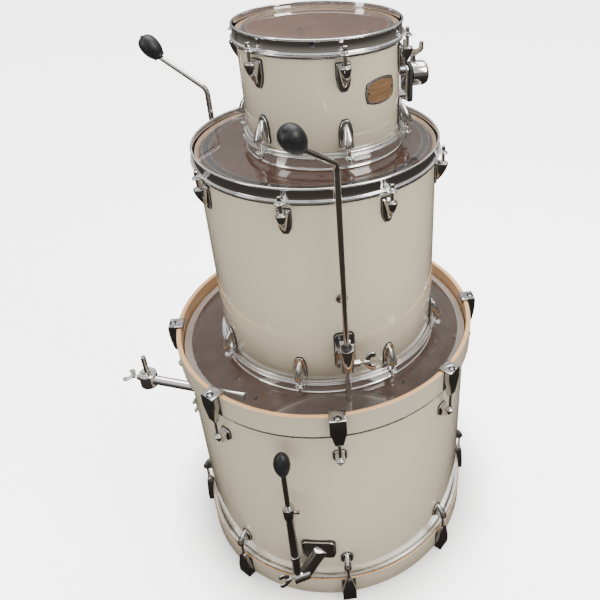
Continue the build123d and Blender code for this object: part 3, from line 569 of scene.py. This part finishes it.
def joined(name, *pieces):
    pick(*pieces)
    if len(pieces) > 1:
        bpy.ops.object.join()
    pieces[0].name = name
    pieces[0].data.name = name
    return pieces[0]


def moved(piece, matrix):                       # moves the mesh, so the object stays at the origin
    pick(piece)
    piece.matrix_world = matrix
    bpy.ops.object.transform_apply(location=True, rotation=True, scale=True)
    if matrix.determinant() < 0:
        edit()
        bpy.ops.mesh.select_all(action="SELECT")
        bpy.ops.mesh.normals_make_consistent(inside=False)
        edit(False)
    return piece


def copied(piece):
    pick(piece)
    bpy.ops.object.duplicate()
    return bpy.context.object


def turnTo(angle, axis=(0.0, 0.0)):
    middle = Matrix.Translation((axis[0] * mm, axis[1] * mm, 0))
    return middle @ Matrix.Rotation(math.radians(angle), 4, "Z")


def flipAt(height):
    return Matrix.Translation((0, 0, 2 * height * mm)) @ Matrix.Scale(-1, 4, (0, 0, 1))


def ringOf(name, piece, drum, bothEnds=True):
    # copies of a piece modelled at azimuth 0, one for each lug, and again for the other head
    copies = []
    middle = (drum["low"] + drum["high"]) / 2
    for i in range(drum["lugs"]):
        place = turnTo(drum["start"] + i * 360 / drum["lugs"], drum["axis"])
        copies.append(moved(copied(piece), place))
        if bothEnds:
            copies.append(moved(copied(piece), flipAt(middle) @ place))
    bpy.data.objects.remove(piece)
    return joined(name, *copies)


def placed(piece, body, replaced, slot, *finishes):
    piece.data.materials.clear()
    for finish in finishes:
        piece.data.materials.append(finish)
    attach(piece, body)
    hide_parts(*replaced)
    return piece


def paint(piece, index, test):                  # gives the faces that pass the test another finish
    for face in piece.data.polygons:
        if test(face):
            face.material_index = index


def arcPoints(centre, radius, start, end, count):
    return [(centre[0] + radius * math.cos(math.radians(start + (end - start) * i / count)),
             centre[1] + radius * math.sin(math.radians(start + (end - start) * i / count)))
            for i in range(count + 1)]


# shells

shellSetup = {"steps": 192, "edge": 2.0, "round": 0.8,
              "band": 6.0}   # the bearing edge reaches this far along the drum
ventSetup = {"angle": -82.5, "r": 6.0, "reach": 15.0}


def drumShell(drum):
    r, wall, low, high = drum["r"], drum["wall"], drum["low"], drum["high"]
    slope = wall - shellSetup["edge"]
    soft = shellSetup["round"]
    profile = [(r - wall, low + slope), (r - shellSetup["edge"], low), (r - soft, low)]
    profile += arcPoints((r - soft, low + soft), soft, -90, 0, 3)[1:]
    profile += arcPoints((r - soft, high - soft), soft, 0, 90, 3)
    profile += [(r - shellSetup["edge"], high), (r - wall, high - slope)]
    piece = lathed(drum["name"] + "Shell", profile, drum["axis"], shellSetup["steps"])
    return smoothed(piece)


def drilled(shell, drum):                       # the hole behind the vent's grommet
    middle = (drum["low"] + drum["high"]) / 2
    reach = ventSetup["reach"]
    drill = rod("drill", ventSetup["r"], (drum["r"] - reach, 0, middle),
                (drum["r"] + reach, 0, middle))
    return smoothed(cut(shell, moved(drill, turnTo(ventSetup["angle"], drum["axis"]))))


def finishShell(piece, drum, edgeFinish):
    # lacquer outside, bare birch inside, the plies' ends on the bearing edges
    placed(piece, drum["body"], [drum["name"] + "_shell"], "lacquered_wood", shellLacquer,
           innerBirch, edgeFinish)
    inner = (drum["r"] - drum["wall"] + 0.3) * mm
    outer = (drum["r"] - 0.5) * mm
    band = shellSetup["band"] * mm
    ends = (drum["low"] * mm + band, drum["high"] * mm - band)
    centre = Vector(axisOf(drum))

    def out(face):
        return (face.center.xy - centre).length

    def onEdge(face):
        return inner <= out(face) < outer and not ends[0] < face.center.z < ends[1]

    paint(piece, 1, lambda face: out(face) < inner)
    paint(piece, 2, onEdge)


for drum in drums:
    edgePly = plies(drum["name"] + "EdgePly", axisOf(drum), (0.62, 0.42, 0.25), (0.36, 0.21, 0.11),
                    0.0012)
    shell = drumShell(drum)
    finishShell(drilled(shell, drum) if drum is floorTom else shell, drum, edgePly)
print("shells turned")


# bass hoops

hoopSetup = {"outer": 290.0, "inner": 281.0, "round": 1.4, "steps": 192,
             "rise": 26.0, "tall": 45.0,        # how far it stands beyond the shell, its height
             "clawOver": 4.5, "clawWell": 8.0}  # the claws' backs over it, and the wells in them


def woodHoop(name, node):
    low, high = boxOf(node)
    soft = hoopSetup["round"]
    outer, inner = hoopSetup["outer"], hoopSetup["inner"]
    profile = []
    for corner, angle in (((outer - soft, high.z - soft), 0), ((inner + soft, high.z - soft), 90),
                          ((inner + soft, low.z + soft), 180), ((outer - soft, low.z + soft), 270)):
        profile += arcPoints(corner, soft, angle, angle + 90, 4)
    piece = smoothed(lathed(name, profile, bass["axis"], hoopSetup["steps"]), 50)
    placed(piece, "bass_drum", [node], "lacquered_wood", hoopLacquer, hoopEnd, hoopMaple)
    faceOut = (outer - soft * 0.55) * mm
    faceIn = (inner + 0.5) * mm
    paint(piece, 1, lambda face: face.center.xy.length < faceOut)
    paint(piece, 2, lambda face: face.center.xy.length < faceIn)


hoopEnd = plies("hoopEnd", (0.0, 0.0), (0.74, 0.42, 0.185), (0.56, 0.30, 0.125), 0.0018)
woodHoop("bassHoopTop", "bass_hoop_top")
woodHoop("bassHoopBottom", "bass_hoop_bottom")
print("wooden hoops turned")


# heads

headSetup = {"thick": 0.5, "steps": 160, "hoopTall": 6.0,
             "width": {"bass": 8.0, "floor": 5.5, "rack": 5.5}}      # the metal hoop, from the shell


def drumHead(name, drum, node, film, atTop):
    # film over the bearing edge, its collar, and the metal hoop that holds it
    low, high = boxOf(node)
    r = drum["r"]
    edge = drum["high"] if atTop else drum["low"]
    deep = (edge - low.z) if atTop else (high.z - edge)
    side = 1 if atTop else -1
    hoopTall, thick = headSetup["hoopTall"], headSetup["thick"]
    width = headSetup["width"][drum["name"]]
    outline = [(0.0, 0.0), (r * 0.5, 0.0), (r - 2.0, 0.0), (r + 0.2, -1.2), (r + 0.3, -deep + 0.6),
               (r + 0.9, -deep), (r + width - 0.8, -deep), (r + width, -deep + 0.8),
               (r + width, -deep + hoopTall - 0.8),
               (r + width - 0.8, -deep + hoopTall), (r + 1.4, -deep + hoopTall),
               (r + 0.8, -deep + hoopTall + 0.6),
               (r + 0.8, -1.0)]
    outline += arcPoints((r - 1.2, -1.5), 2.0, 20, 90, 4)[1:]
    outline += [(r * 0.5, thick), (0.0, thick)]
    profile = [(x, edge + side * z) for x, z in outline]
    piece = smoothed(lathed(name, profile, drum["axis"], headSetup["steps"]), 45)
    placed(piece, drum["body"], [node], "drum_film", film, aluminium, filmUnderside)
    centre = Vector(axisOf(drum))
    hoopEdge = (edge - side * (deep - hoopTall - 0.4)) * mm

    def out(face):
        return (face.center.xy - centre).length

    def onHoop(face):
        return (face.center.z - hoopEdge) * side < 0 and out(face) > (r + 0.5) * mm

    def underneath(face):
        return face.normal.z * side < -0.5 and out(face) < r * mm

    paint(piece, 1, onHoop)
    paint(piece, 2, underneath)


for drum in drums:
    film = clearFilm(drum["name"] + "Film", axisOf(drum), filmSetup[drum["name"]])
    topNode = "bass_head_batter" if drum is bass else drum["name"] + "_head_top"
    lowNode = "bass_head_front" if drum is bass else drum["name"] + "_head_bottom"
    drumHead(drum["name"] + "HeadTop", drum, topNode, film, True)
    drumHead(drum["name"] + "HeadBottom", drum, lowNode, film, False)
print("heads stretched")


# metal rims

rimSetup = {"gap": 1.9, "wall": 2.0, "flange": 8.2, "bend": 1.2, "lip": 1.4, "ear": 8.0,
            "earOut": 13.0, "earThick": 2.03, "hole": 3.4, "steps": 192}


def tomRim(name, drum, node, atTop):
    # upright wall with a rolled top and an eared lower flange, all pressed from one strip
    r = drum["r"]
    low, high = boxOf(node)
    inner = r + rimSetup["gap"]
    outer = inner + rimSetup["wall"]
    top, foot = high.z, low.z
    if not atTop:
        top, foot = -low.z, -high.z
    profile = [(inner, foot + 0.4), (inner + 0.4, foot), (r + rimSetup["flange"] - 0.8, foot)]
    profile += arcPoints((r + rimSetup["flange"] - 1.0, foot + 1.0), 1.0, -90, 90, 6)
    bend, lip = rimSetup["bend"], rimSetup["lip"]
    profile += arcPoints((outer + bend, foot + 3.2), bend, 270, 180, 3)
    profile += [(outer, top - 4.0)] + arcPoints((outer + bend, top - 4.0), bend, 180, 90, 3)[1:]
    profile += arcPoints((outer + 0.6, top - lip), lip, -60, 90, 6)
    profile += arcPoints((inner + bend, top - bend), bend, 90, 180, 3)
    piece = lathed(name, profile, drum["axis"], rimSetup["steps"])
    ears = []
    out = r + rimSetup["earOut"]
    for i in range(drum["lugs"]):
        ear = rod("ear", rimSetup["ear"], (out, 0, foot - 0.02),
                  (out, 0, foot + rimSetup["earThick"]), 32)
        hole = rod("hole", rimSetup["hole"], (out, 0, foot - 2), (out, 0, foot + 4), 20)
        place = turnTo(drum["start"] + i * 360 / drum["lugs"], drum["axis"])
        ears.append(moved(softened(cut(ear, hole), 0.6, 2), place))
    piece = smoothed(joined(name, piece, *ears), 50)
    if not atTop:
        moved(piece, Matrix.Scale(-1, 4, (0, 0, 1)))
    placed(piece, drum["body"], [node], "chrome", brightChrome)


for drum in (floorTom, rackTom):
    tomRim(drum["name"] + "RimTop", drum, drum["name"] + "_rim_top", True)
    tomRim(drum["name"] + "RimBottom", drum, drum["name"] + "_rim_bottom", False)
print("rims pressed")


# lugs

slotOf = {part["node"]: part["material_slot"] for part in frame["record"]["subparts"]}
bodyOf = {node: body for body, members in frame["record"]["behaviour"]["bodies"].items()
          for node in members}

tomLugSetup = {
    "outline": [(-10.7, 21.1), (10.7, 21.1), (10.7, -1.0), (8.9, -12.0), (4.3, -20.6),
                (-4.3, -20.6), (-8.9, -12.0), (-10.7, -1.0)],
    "inset": 47.0, "rodOut": 13.0, "top": 18.0, "low": -14.0, "half": 9.0, "corner": 2.6,
}
bassLugSetup = {
    "outline": [(-7.4, 13.4), (7.4, 13.4), (11.6, 8.2), (11.6, -6.7), (5.1, -13.9),
                (-5.1, -13.9), (-11.6, -6.7), (-11.6, 8.2)],
    "inset": 78.5, "rodOut": 18.0, "top": 10.0, "low": -17.0, "half": 8.2, "corner": 2.0,
}
lugShared = {"gasket": 1.2, "plate": 2.6, "tip": 2.2, "tipOut": 3.4, "collar": 5.3,
             "steps": 9, "straight": 0.12, "curve": 1.7}    # the boss stays full, then narrows


def lugPiece(drum, setup):
    # plate with rounded corners, a boat-shaped boss on it, and the swivel nut the rod screws into
    back = drum["r"] + lugShared["gasket"]
    middle = drum["high"] - setup["inset"]
    plate = slab("plate", [(back, y, middle + z) for y, z in setup["outline"]],
                 (lugShared["plate"], 0, 0), setup["corner"])
    softened(plate, 0.9, 3)
    nose, half = drum["r"] + setup["rodOut"], setup["half"]
    outline = [(back, -half)] + arcPoints((nose, 0.0), half, -90, 90, 14) + [(back, half)]
    boss = traced("boss", [(x, y, middle + setup["top"]) for x, y in outline])
    bpy.ops.mesh.edge_face_add()
    depth = setup["top"] - setup["low"]
    full = (nose + half - back, half)
    last = (lugShared["tipOut"] + lugShared["tip"], lugShared["tip"])
    before = full
    for i in range(1, lugShared["steps"] + 1):
        share = i / lugShared["steps"]
        keep = max(0.0, 1 - share ** lugShared["curve"]) if share > lugShared["straight"] else 1.0
        now = tuple(b + (a - b) * keep for a, b in zip(full, last))
        height = middle + setup["top"] - depth * share
        down = (0, 0, -depth * mm / lugShared["steps"])
        bpy.ops.mesh.extrude_region_move(TRANSFORM_OT_translate={"value": down})
        bpy.ops.transform.resize(value=(now[0] / before[0], now[1] / before[1], 1),
                                 center_override=(back * mm, 0, height * mm))
        before = now
    bpy.ops.mesh.select_all(action="SELECT")
    bpy.ops.mesh.normals_make_consistent(inside=False)
    edit(False)
    softened(boss, 1.0, 3, 40)
    top, collar = middle + setup["top"], lugShared["collar"]
    nut = lathed("nut", [(0, top - 1), (collar, top - 1), (collar, top + 0.5),
                         (collar - 0.6, top + 1.0), (0, top + 1.0)], (nose, 0.0), 24)
    return smoothed(joined("lug", plate, boss, nut))


for drum in drums:
    node = drum["name"] + "_lugs"
    setup = bassLugSetup if drum is bass else tomLugSetup
    piece = ringOf(drum["name"] + "Lugs", lugPiece(drum, setup), drum)
    placed(piece, bodyOf[node], [node], "chrome", castChrome)
print("lugs cast")


# tension rods

rodSetup = {"r": 3.0, "washer": 6.2, "collar": 5.0, "head": 6.2,
            "tomSeat": 10.5, "tomHead": 7.8, "clawHead": 5.2,
            "short": 4.0}    # a tom's rod ends this far above its lug's middle, a bass rod below


def squareHead(out, low, tall):
    deselect()
    side = rodSetup["head"] * mm
    bpy.ops.mesh.primitive_cube_add(size=1, location=(out * mm, 0, (low + tall / 2) * mm),
                                    scale=(side, side, tall * mm))
    return softened(added("head"), 0.8, 3)


def tomRod(drum):
    # washer on the rim's ear, collar, square head
    seat = drum["high"] - rodSetup["tomSeat"]
    low = drum["high"] - tomLugSetup["inset"] + rodSetup["short"]
    out = drum["r"] + tomLugSetup["rodOut"]
    washer, collar, r = rodSetup["washer"], rodSetup["collar"], rodSetup["r"]
    profile = [(0, low), (r - 0.5, low), (r, low + 0.5), (r, seat), (washer, seat),
               (washer, seat + 0.9), (washer - 0.3, seat + 1.2), (collar, seat + 1.2),
               (collar, seat + 3.0), (collar - 0.6, seat + 3.6), (0, seat + 3.6)]
    turned = lathed("rod", profile, (out, 0.0), 24)
    return joined("rod", smoothed(turned), squareHead(out, seat + 3.4, rodSetup["tomHead"]))


def clawRod():                                  # collar and square head, down in the claw's well
    seat = bass["high"] + hoopSetup["rise"] + hoopSetup["clawOver"] - hoopSetup["clawWell"]
    low = bass["high"] - bassLugSetup["inset"] - rodSetup["short"]
    out = bass["r"] + bassLugSetup["rodOut"]
    collar, r = rodSetup["collar"], rodSetup["r"]
    profile = [(0, low), (r - 0.5, low), (r, low + 0.5), (r, seat), (collar, seat),
               (collar, seat + 1.8), (collar - 0.6, seat + 2.4), (0, seat + 2.4)]
    turned = lathed("rod", profile, (out, 0.0), 24)
    return joined("rod", smoothed(turned), squareHead(out, seat + 2.2, rodSetup["clawHead"]))


for drum in (floorTom, rackTom):
    node = drum["name"] + "_tension_rods"
    piece = ringOf(drum["name"] + "TensionRods", tomRod(drum), drum)
    placed(piece, bodyOf[node], [node], "chrome", brightChrome)
piece = ringOf("bassTensionRods", clawRod(), bass)
placed(piece, "bass_drum", ["bass_tension_rods"], "chrome", brightChrome)
print("tension rods turned")


# claws

clawSetup = {"half": 13.9, "tipHalf": 5.4, "shoulder": 24.0, "recess": 6.7, "bore": 3.4,
             "soft": 1.1, "back": 3.0}


def clawPiece():
    # hook over the hoop, a shield-shaped body down its face, and a well for the rod's head
    hoopTop = bass["high"] + hoopSetup["rise"]
    top = hoopTop + hoopSetup["clawOver"]
    hoopLow = hoopTop - hoopSetup["tall"]
    seat = top - clawSetup["back"]
    side = [(277.2, seat - 8), (277.2, top - 2.6), (277.9, top - 0.9), (279.4, top), (302.6, top),
            (304.6, top - 0.7), (305.5, top - 2.6), (305.5, top - 20), (304.9, top - 32),
            (303.4, hoopLow - 8), (300.4, hoopLow - 15), (294.6, hoopLow - 15),
            (291.4, hoopLow + 1.5), (291.4, seat), (279.6, seat), (279.6, seat - 8)]
    half = clawSetup["half"]
    piece = slab("claw", [(x, -half, z) for x, z in side], (0, 2 * half, 0))
    shoulder = top - clawSetup["shoulder"]
    low = hoopLow - 16
    tip = clawSetup["tipHalf"]
    right = [(half - 0.1, top + 2), (half - 0.1, shoulder), (half * 0.90, shoulder - 10),
             (tip + 2.4, low + 9), (tip, low + 3), (tip - 2.6, low + 0.6)]
    left = [(-y, z) for y, z in reversed(right)]
    kept(piece, slab("shield", [(260, y, z) for y, z in right + left], (60, 0, 0)))
    out = bass["r"] + bassLugSetup["rodOut"]
    cut(piece, rod("well", clawSetup["recess"], (out, 0, top - 10), (out, 0, top + 5), 32))
    cut(piece, rod("bore", clawSetup["bore"], (out, 0, low - 5), (out, 0, top + 5), 20))
    return softened(piece, clawSetup["soft"], 3, 34)


claws = ringOf("bassClaws", clawPiece(), bass)
placed(claws, "bass_drum", ["bass_claws"], "chrome", clawChrome)
print("claws cast")


# rubber feet

footSetup = {
    "leg": [(0, -21), (9.4, -21), (10.4, -20.2), (10.4, -18.8), (11.8, -16.2), (14.4, -11.5),
            (16.2, -6), (16.9, 0), (16.9, 5), (16.1, 11), (14.0, 16), (10.6, 19.8), (6.6, 21.6),
            (3.6, 22.0), (3.3, 23.4), (2.5, 24.0), (0, 24.0)],
    "legReach": 21.0,        # its middle, past the end of the leg's straight part
    "spur": [(0, 0), (8.4, 0), (9.2, 0.8), (9.3, 2.2), (11.2, 6.0), (13.2, 12.0), (14.5, 19),
             (14.6, 25), (13.9, 32), (12.2, 38.5), (9.4, 44), (6.2, 47.6), (3.4, 49.2),
             (3.1, 50.6), (2.3, 51.2), (0, 51.2)],
    "steps": 48,
}
legSetup = {"out": 25.8, "angles": (-82.5, 147.5, 47.5), "turns": (-123.4, 164.3, 150.0),
            "bend": 933.0, "tilt": 56.0, "mouth": 95.0, "footTilt": 39.0,
            "boltHeight": 568.0, "boltSide": 8.3}
spurSetup = {"pivot": (300.2, -37.0, 85.0), "turn": 25.0, "angle": -98.0, "mirrorAt": 160.5,
             "back": 6.0, "foot": 306.0, "boltOut": 14.0}


def slopeOf(turn, tilt):                        # a direction leaning from upright by tilt
    turn, lean = math.radians(turn), math.radians(tilt)
    return Vector((math.cos(turn) * math.sin(lean), math.sin(turn) * math.sin(lean), math.cos(lean)))


def legToe(angle, turn):                        # the middle of a leg's foot, past its bend
    out = floorTom["r"] + legSetup["out"]
    knee = Vector((floorTom["axis"][0] + out * math.cos(math.radians(angle)),
                   floorTom["axis"][1] + out * math.sin(math.radians(angle)), legSetup["bend"]))
    return (knee + slopeOf(turn, legSetup["tilt"]) * legSetup["mouth"]
            + slopeOf(turn, legSetup["footTilt"]) * footSetup["legReach"])


def onto(origin, xWay, zWay):                   # a plane's own axes, as a matrix
    xWay, zWay = Vector(xWay).normalized(), Vector(zWay).normalized()
    yWay = zWay.cross(xWay)
    turn = Matrix((xWay, yWay, zWay)).transposed().to_4x4()
    return Matrix.Translation(Vector(origin) * mm) @ turn


spurTurn = math.radians(spurSetup["turn"])
spurWay = Vector((-math.sin(spurTurn), math.cos(spurTurn), 0))         # along a spur's pivot
spurLeg = Vector(spurSetup["pivot"]) - spurWay * spurSetup["back"]
leftSpur = turnTo(spurSetup["angle"])
acrossTop = (Matrix.Rotation(math.radians(2 * spurSetup["mirrorAt"]), 4, "Z")
             @ Matrix.Scale(-1, 4, (0, 1, 0)))
spurSides = {"left": leftSpur, "right": acrossTop @ leftSpur}

for i, (angle, turn) in enumerate(zip(legSetup["angles"], legSetup["turns"]), 1):
    slope = slopeOf(turn, legSetup["footTilt"])
    foot = lathed(f"legFoot{i}", footSetup["leg"], steps=footSetup["steps"])
    moved(foot, onto(legToe(angle, turn), Vector((0, 0, 1)).cross(slope), slope))
    placed(smoothed(foot, 50), f"floor_leg_{i}", [f"leg_foot_{i}"], "black_rubber", blackRubber)
for side, place in spurSides.items():
    foot = lathed("spurFoot" + side.title(), footSetup["spur"], steps=footSetup["steps"])
    moved(foot, place @ Matrix.Translation((spurLeg + Vector((0, 0, spurSetup["foot"]))) * mm))
    placed(smoothed(foot, 50), f"spur_inner_{side}", [f"spur_foot_{side}"], "black_rubber",
           blackRubber)
print("rubber feet turned")


# wing bolts

wingSetup = {
    "leg": {"length": 28.0, "hub": 6.0, "span": 18.0, "rise": 10.0},
    "spur": {"length": 42.0, "hub": 6.5, "span": 19.0, "rise": 13.0},
    "base": {"length": 34.0, "hub": 6.0, "span": 18.0, "rise": 12.0},
    "clamp": {"length": 32.0, "hub": 6.0, "span": 19.0, "rise": 12.0},
}
holderSetup = {"angle": 160.5, "height": 225, "baseOut": 34, "baseSide": 11.6, "clampOut": 479.5}


def wingBolt(name, length, hub, span, rise):
    # threaded stem along +Z, a rounded hub and two petal-shaped wings
    low = length - hub * 1.4
    high = length + hub * 0.4
    stem = lathed("stem", [(0, 0), (2.4, 0), (3.0, 0.7), (3.0, low), (hub - 0.8, low),
                           (hub, low + 0.8), (hub * 0.86, high - 1.4), (hub * 0.62, high - 0.2),
                           (0, high)], steps=32)
    petals = []
    for sign in (-1, 1):
        tip = arcPoints((span - 5.4, length + rise - 4.6), 7.2, -48, 132, 12)
        outline = [(1.0, length - hub), (hub * 1.05, length - hub * 0.98),
                   (hub * 1.7, length - hub * 0.75)] + tip
        outline += [(hub * 1.35, length + hub * 0.85), (hub * 0.7, length + hub * 0.45),
                    (1.0, length + hub * 0.4)]
        petal = slab("petal", [(sign * x, -2.5, z) for x, z in outline], (0, 5.0, 0))
        petals.append(softened(petal, 1.8, 4, 40))
    return smoothed(joined(name, smoothed(stem), *petals), 50)


def boltOn(name, setup, matrix, body, node):
    piece = moved(wingBolt(name, **setup), matrix)
    placed(piece, body, [node], "chrome", castChrome)


legBolt = onto((floorTom["r"] + legSetup["out"], legSetup["boltSide"], legSetup["boltHeight"]),
               (0, 0, 1), (0, 1, 0))
for i, angle in enumerate(legSetup["angles"], 1):
    boltOn(f"legWingBolt{i}", wingSetup["leg"], turnTo(angle, floorTom["axis"]) @ legBolt,
           f"floor_leg_bolt_{i}", f"leg_wing_bolt_{i}")
spurBolt = onto(Vector(spurSetup["pivot"]) + spurWay * spurSetup["boltOut"], (0, 0, 1), -spurWay)
for side, place in spurSides.items():
    boltOn("spurWingBolt" + side.title(), wingSetup["spur"], place @ spurBolt,
           f"spur_bolt_{side}", f"spur_wing_bolt_{side}")
holderTurn = turnTo(holderSetup["angle"])
baseBolt = onto((bass["r"] + holderSetup["baseOut"], holderSetup["baseSide"],
                 holderSetup["height"]), (0, 0, 1), (0, 1, 0))
clampBolt = onto((holderSetup["clampOut"], 0, holderSetup["height"]), (0, 1, 0), (1, 0, 0))
boltOn("holderBaseBolt", wingSetup["base"], holderTurn @ baseBolt,
       "holder_base_bolt", "tom_holder_base_wing_bolt")
boltOn("holderClampBolt", wingSetup["clamp"], holderTurn @ clampBolt,
       "holder_clamp_bolt", "tom_holder_clamp_wing_bolt")
print("wing bolts cast")


# badge

badgeSetup = {"angle": -45.0, "wide": 28.0, "waist": 31.0, "tall": 14.0, "crown": 19.0,
              "rise": 11.0, "pin": 26.2, "sides": 240}


def badgeOutline(grow):
    wide, waist = badgeSetup["wide"] + grow, badgeSetup["waist"] + grow
    tall, crown = badgeSetup["tall"] + grow, badgeSetup["crown"] + grow
    points = []
    for i in range(13):                         # arched top, bowed sides, arched foot
        x = -wide + 2 * wide * i / 12
        points.append((x, tall + (crown - tall) * (1 - (x / wide) ** 2)))
    sides = [(wide + (waist - wide) * (1 - (z / tall) ** 2), z)
             for z in (tall * 0.5, 0.0, -tall * 0.5)]
    return points + sides + [(-x, -z) for x, z in points] + [(-x, -z) for x, z in sides]


def bentPlate(name, outline, middle, low, high):
    # an outline wrapped round the drum, between two radii
    piece = slab(name, [(100, y, middle + z) for y, z in outline], (40, 0, 0))
    ends, sides = ((0, 0, middle - 50), (0, 0, middle + 50)), badgeSetup["sides"]
    cut(piece, rod("inside", rackTom["r"] + low, *ends, sides))
    return kept(piece, rod("outside", rackTom["r"] + high, *ends, sides))


badgeMiddle = (rackTom["low"] + rackTom["high"]) / 2 + badgeSetup["rise"]
backing = bentPlate("backing", badgeOutline(1.2), badgeMiddle, 0.0, 0.5)
border = bentPlate("border", badgeOutline(0.0), badgeMiddle, 0.3, 1.7)
window = bentPlate("window", badgeOutline(-1.9), badgeMiddle, 1.1, 4.0)
face = bentPlate("face", badgeOutline(-2.0), badgeMiddle, 0.5, 1.3)
cut(border, window)
softened(border, 0.35, 2)
pins = []
for y in (-badgeSetup["pin"], badgeSetup["pin"]):
    out = math.sqrt((rackTom["r"] + 1.2) ** 2 - y * y)
    pin = rod("pin", 1.7, (out - 1, y, badgeMiddle), (out + 1.2, y, badgeMiddle), 20)
    pins.append(softened(pin, 0.5, 3))
for index, group in enumerate(([border], [face], [backing] + pins)):
    for part in group:
        part.data.materials.clear()
        for finish in (aluminium, badgeBronze, blackRubber):
            part.data.materials.append(finish)
        for polygon in part.data.polygons:
            polygon.material_index = index
badge = smoothed(joined("rackBadge", border, face, backing, *pins), 30)
moved(badge, turnTo(badgeSetup["angle"], rackTom["axis"]))
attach(badge, "rack_tom")
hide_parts("rack_badge")
print("badge made")


# castings and tubes, softened copies of the frame's own

def reworked(node, width, finish, angle=32):
    piece = copied(nodes[node])
    piece.parent = None
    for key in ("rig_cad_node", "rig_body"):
        if key in piece:
            del piece[key]
    first, *rest = node.split("_")
    piece.name = first + "".join(word.title() for word in rest)
    piece.data.name = piece.name
    pick(piece)
    edit()
    bpy.ops.mesh.select_all(action="SELECT")
    bpy.ops.mesh.remove_doubles(threshold=2e-6)
    bpy.ops.mesh.dissolve_limited(angle_limit=math.radians(1.5))
    bpy.ops.mesh.normals_make_consistent(inside=False)
    edit(False)
    softened(piece, width, 2, angle)
    return placed(piece, bodyOf[node], [node], slotOf[node], finish)


castingSetup = {
    "spur_brackets": (1.6, castChrome),
    "spur_tube_left": (0.8, steelChrome), "spur_tube_right": (0.8, steelChrome),
    "spur_rod_left": (0.7, steelChrome), "spur_rod_right": (0.7, steelChrome),
    "tom_holder_base": (1.3, castChrome), "tom_holder_arm": (0.9, brightChrome),
    "tom_holder_ball_rod": (0.5, steelChrome),
    "leg_brackets": (1.3, castChrome), "leg_bushes": (0.5, nylon),
    "leg_1": (0.7, brightChrome), "leg_2": (0.7, brightChrome), "leg_3": (0.7, brightChrome),
    "mount_base": (0.9, castChrome), "mount_isolator": (0.9, gasketRubber),
    "mount_receiver": (1.0, castChrome), "mount_wing_nut": (0.7, steelChrome),
    "floor_vent": (0.4, brightChrome),
}
for node, (width, finish) in castingSetup.items():
    reworked(node, width, finish)
print("castings softened")


# finishes on the frame's own pieces

nodeFinishes = {
    "chrome": castChrome,
    "plated_steel": steelChrome,
    "black_rubber": gasketRubber,
    "black_nylon": nylon,
    "bronze": badgeBronze,
    "lacquered_wood": shellLacquer,
    "drum_film": aluminium,
}

for name, node in nodes.items():
    node.data.materials.clear()
    node.data.materials.append(nodeFinishes[slotOf[name]])
print("plain pieces finished")
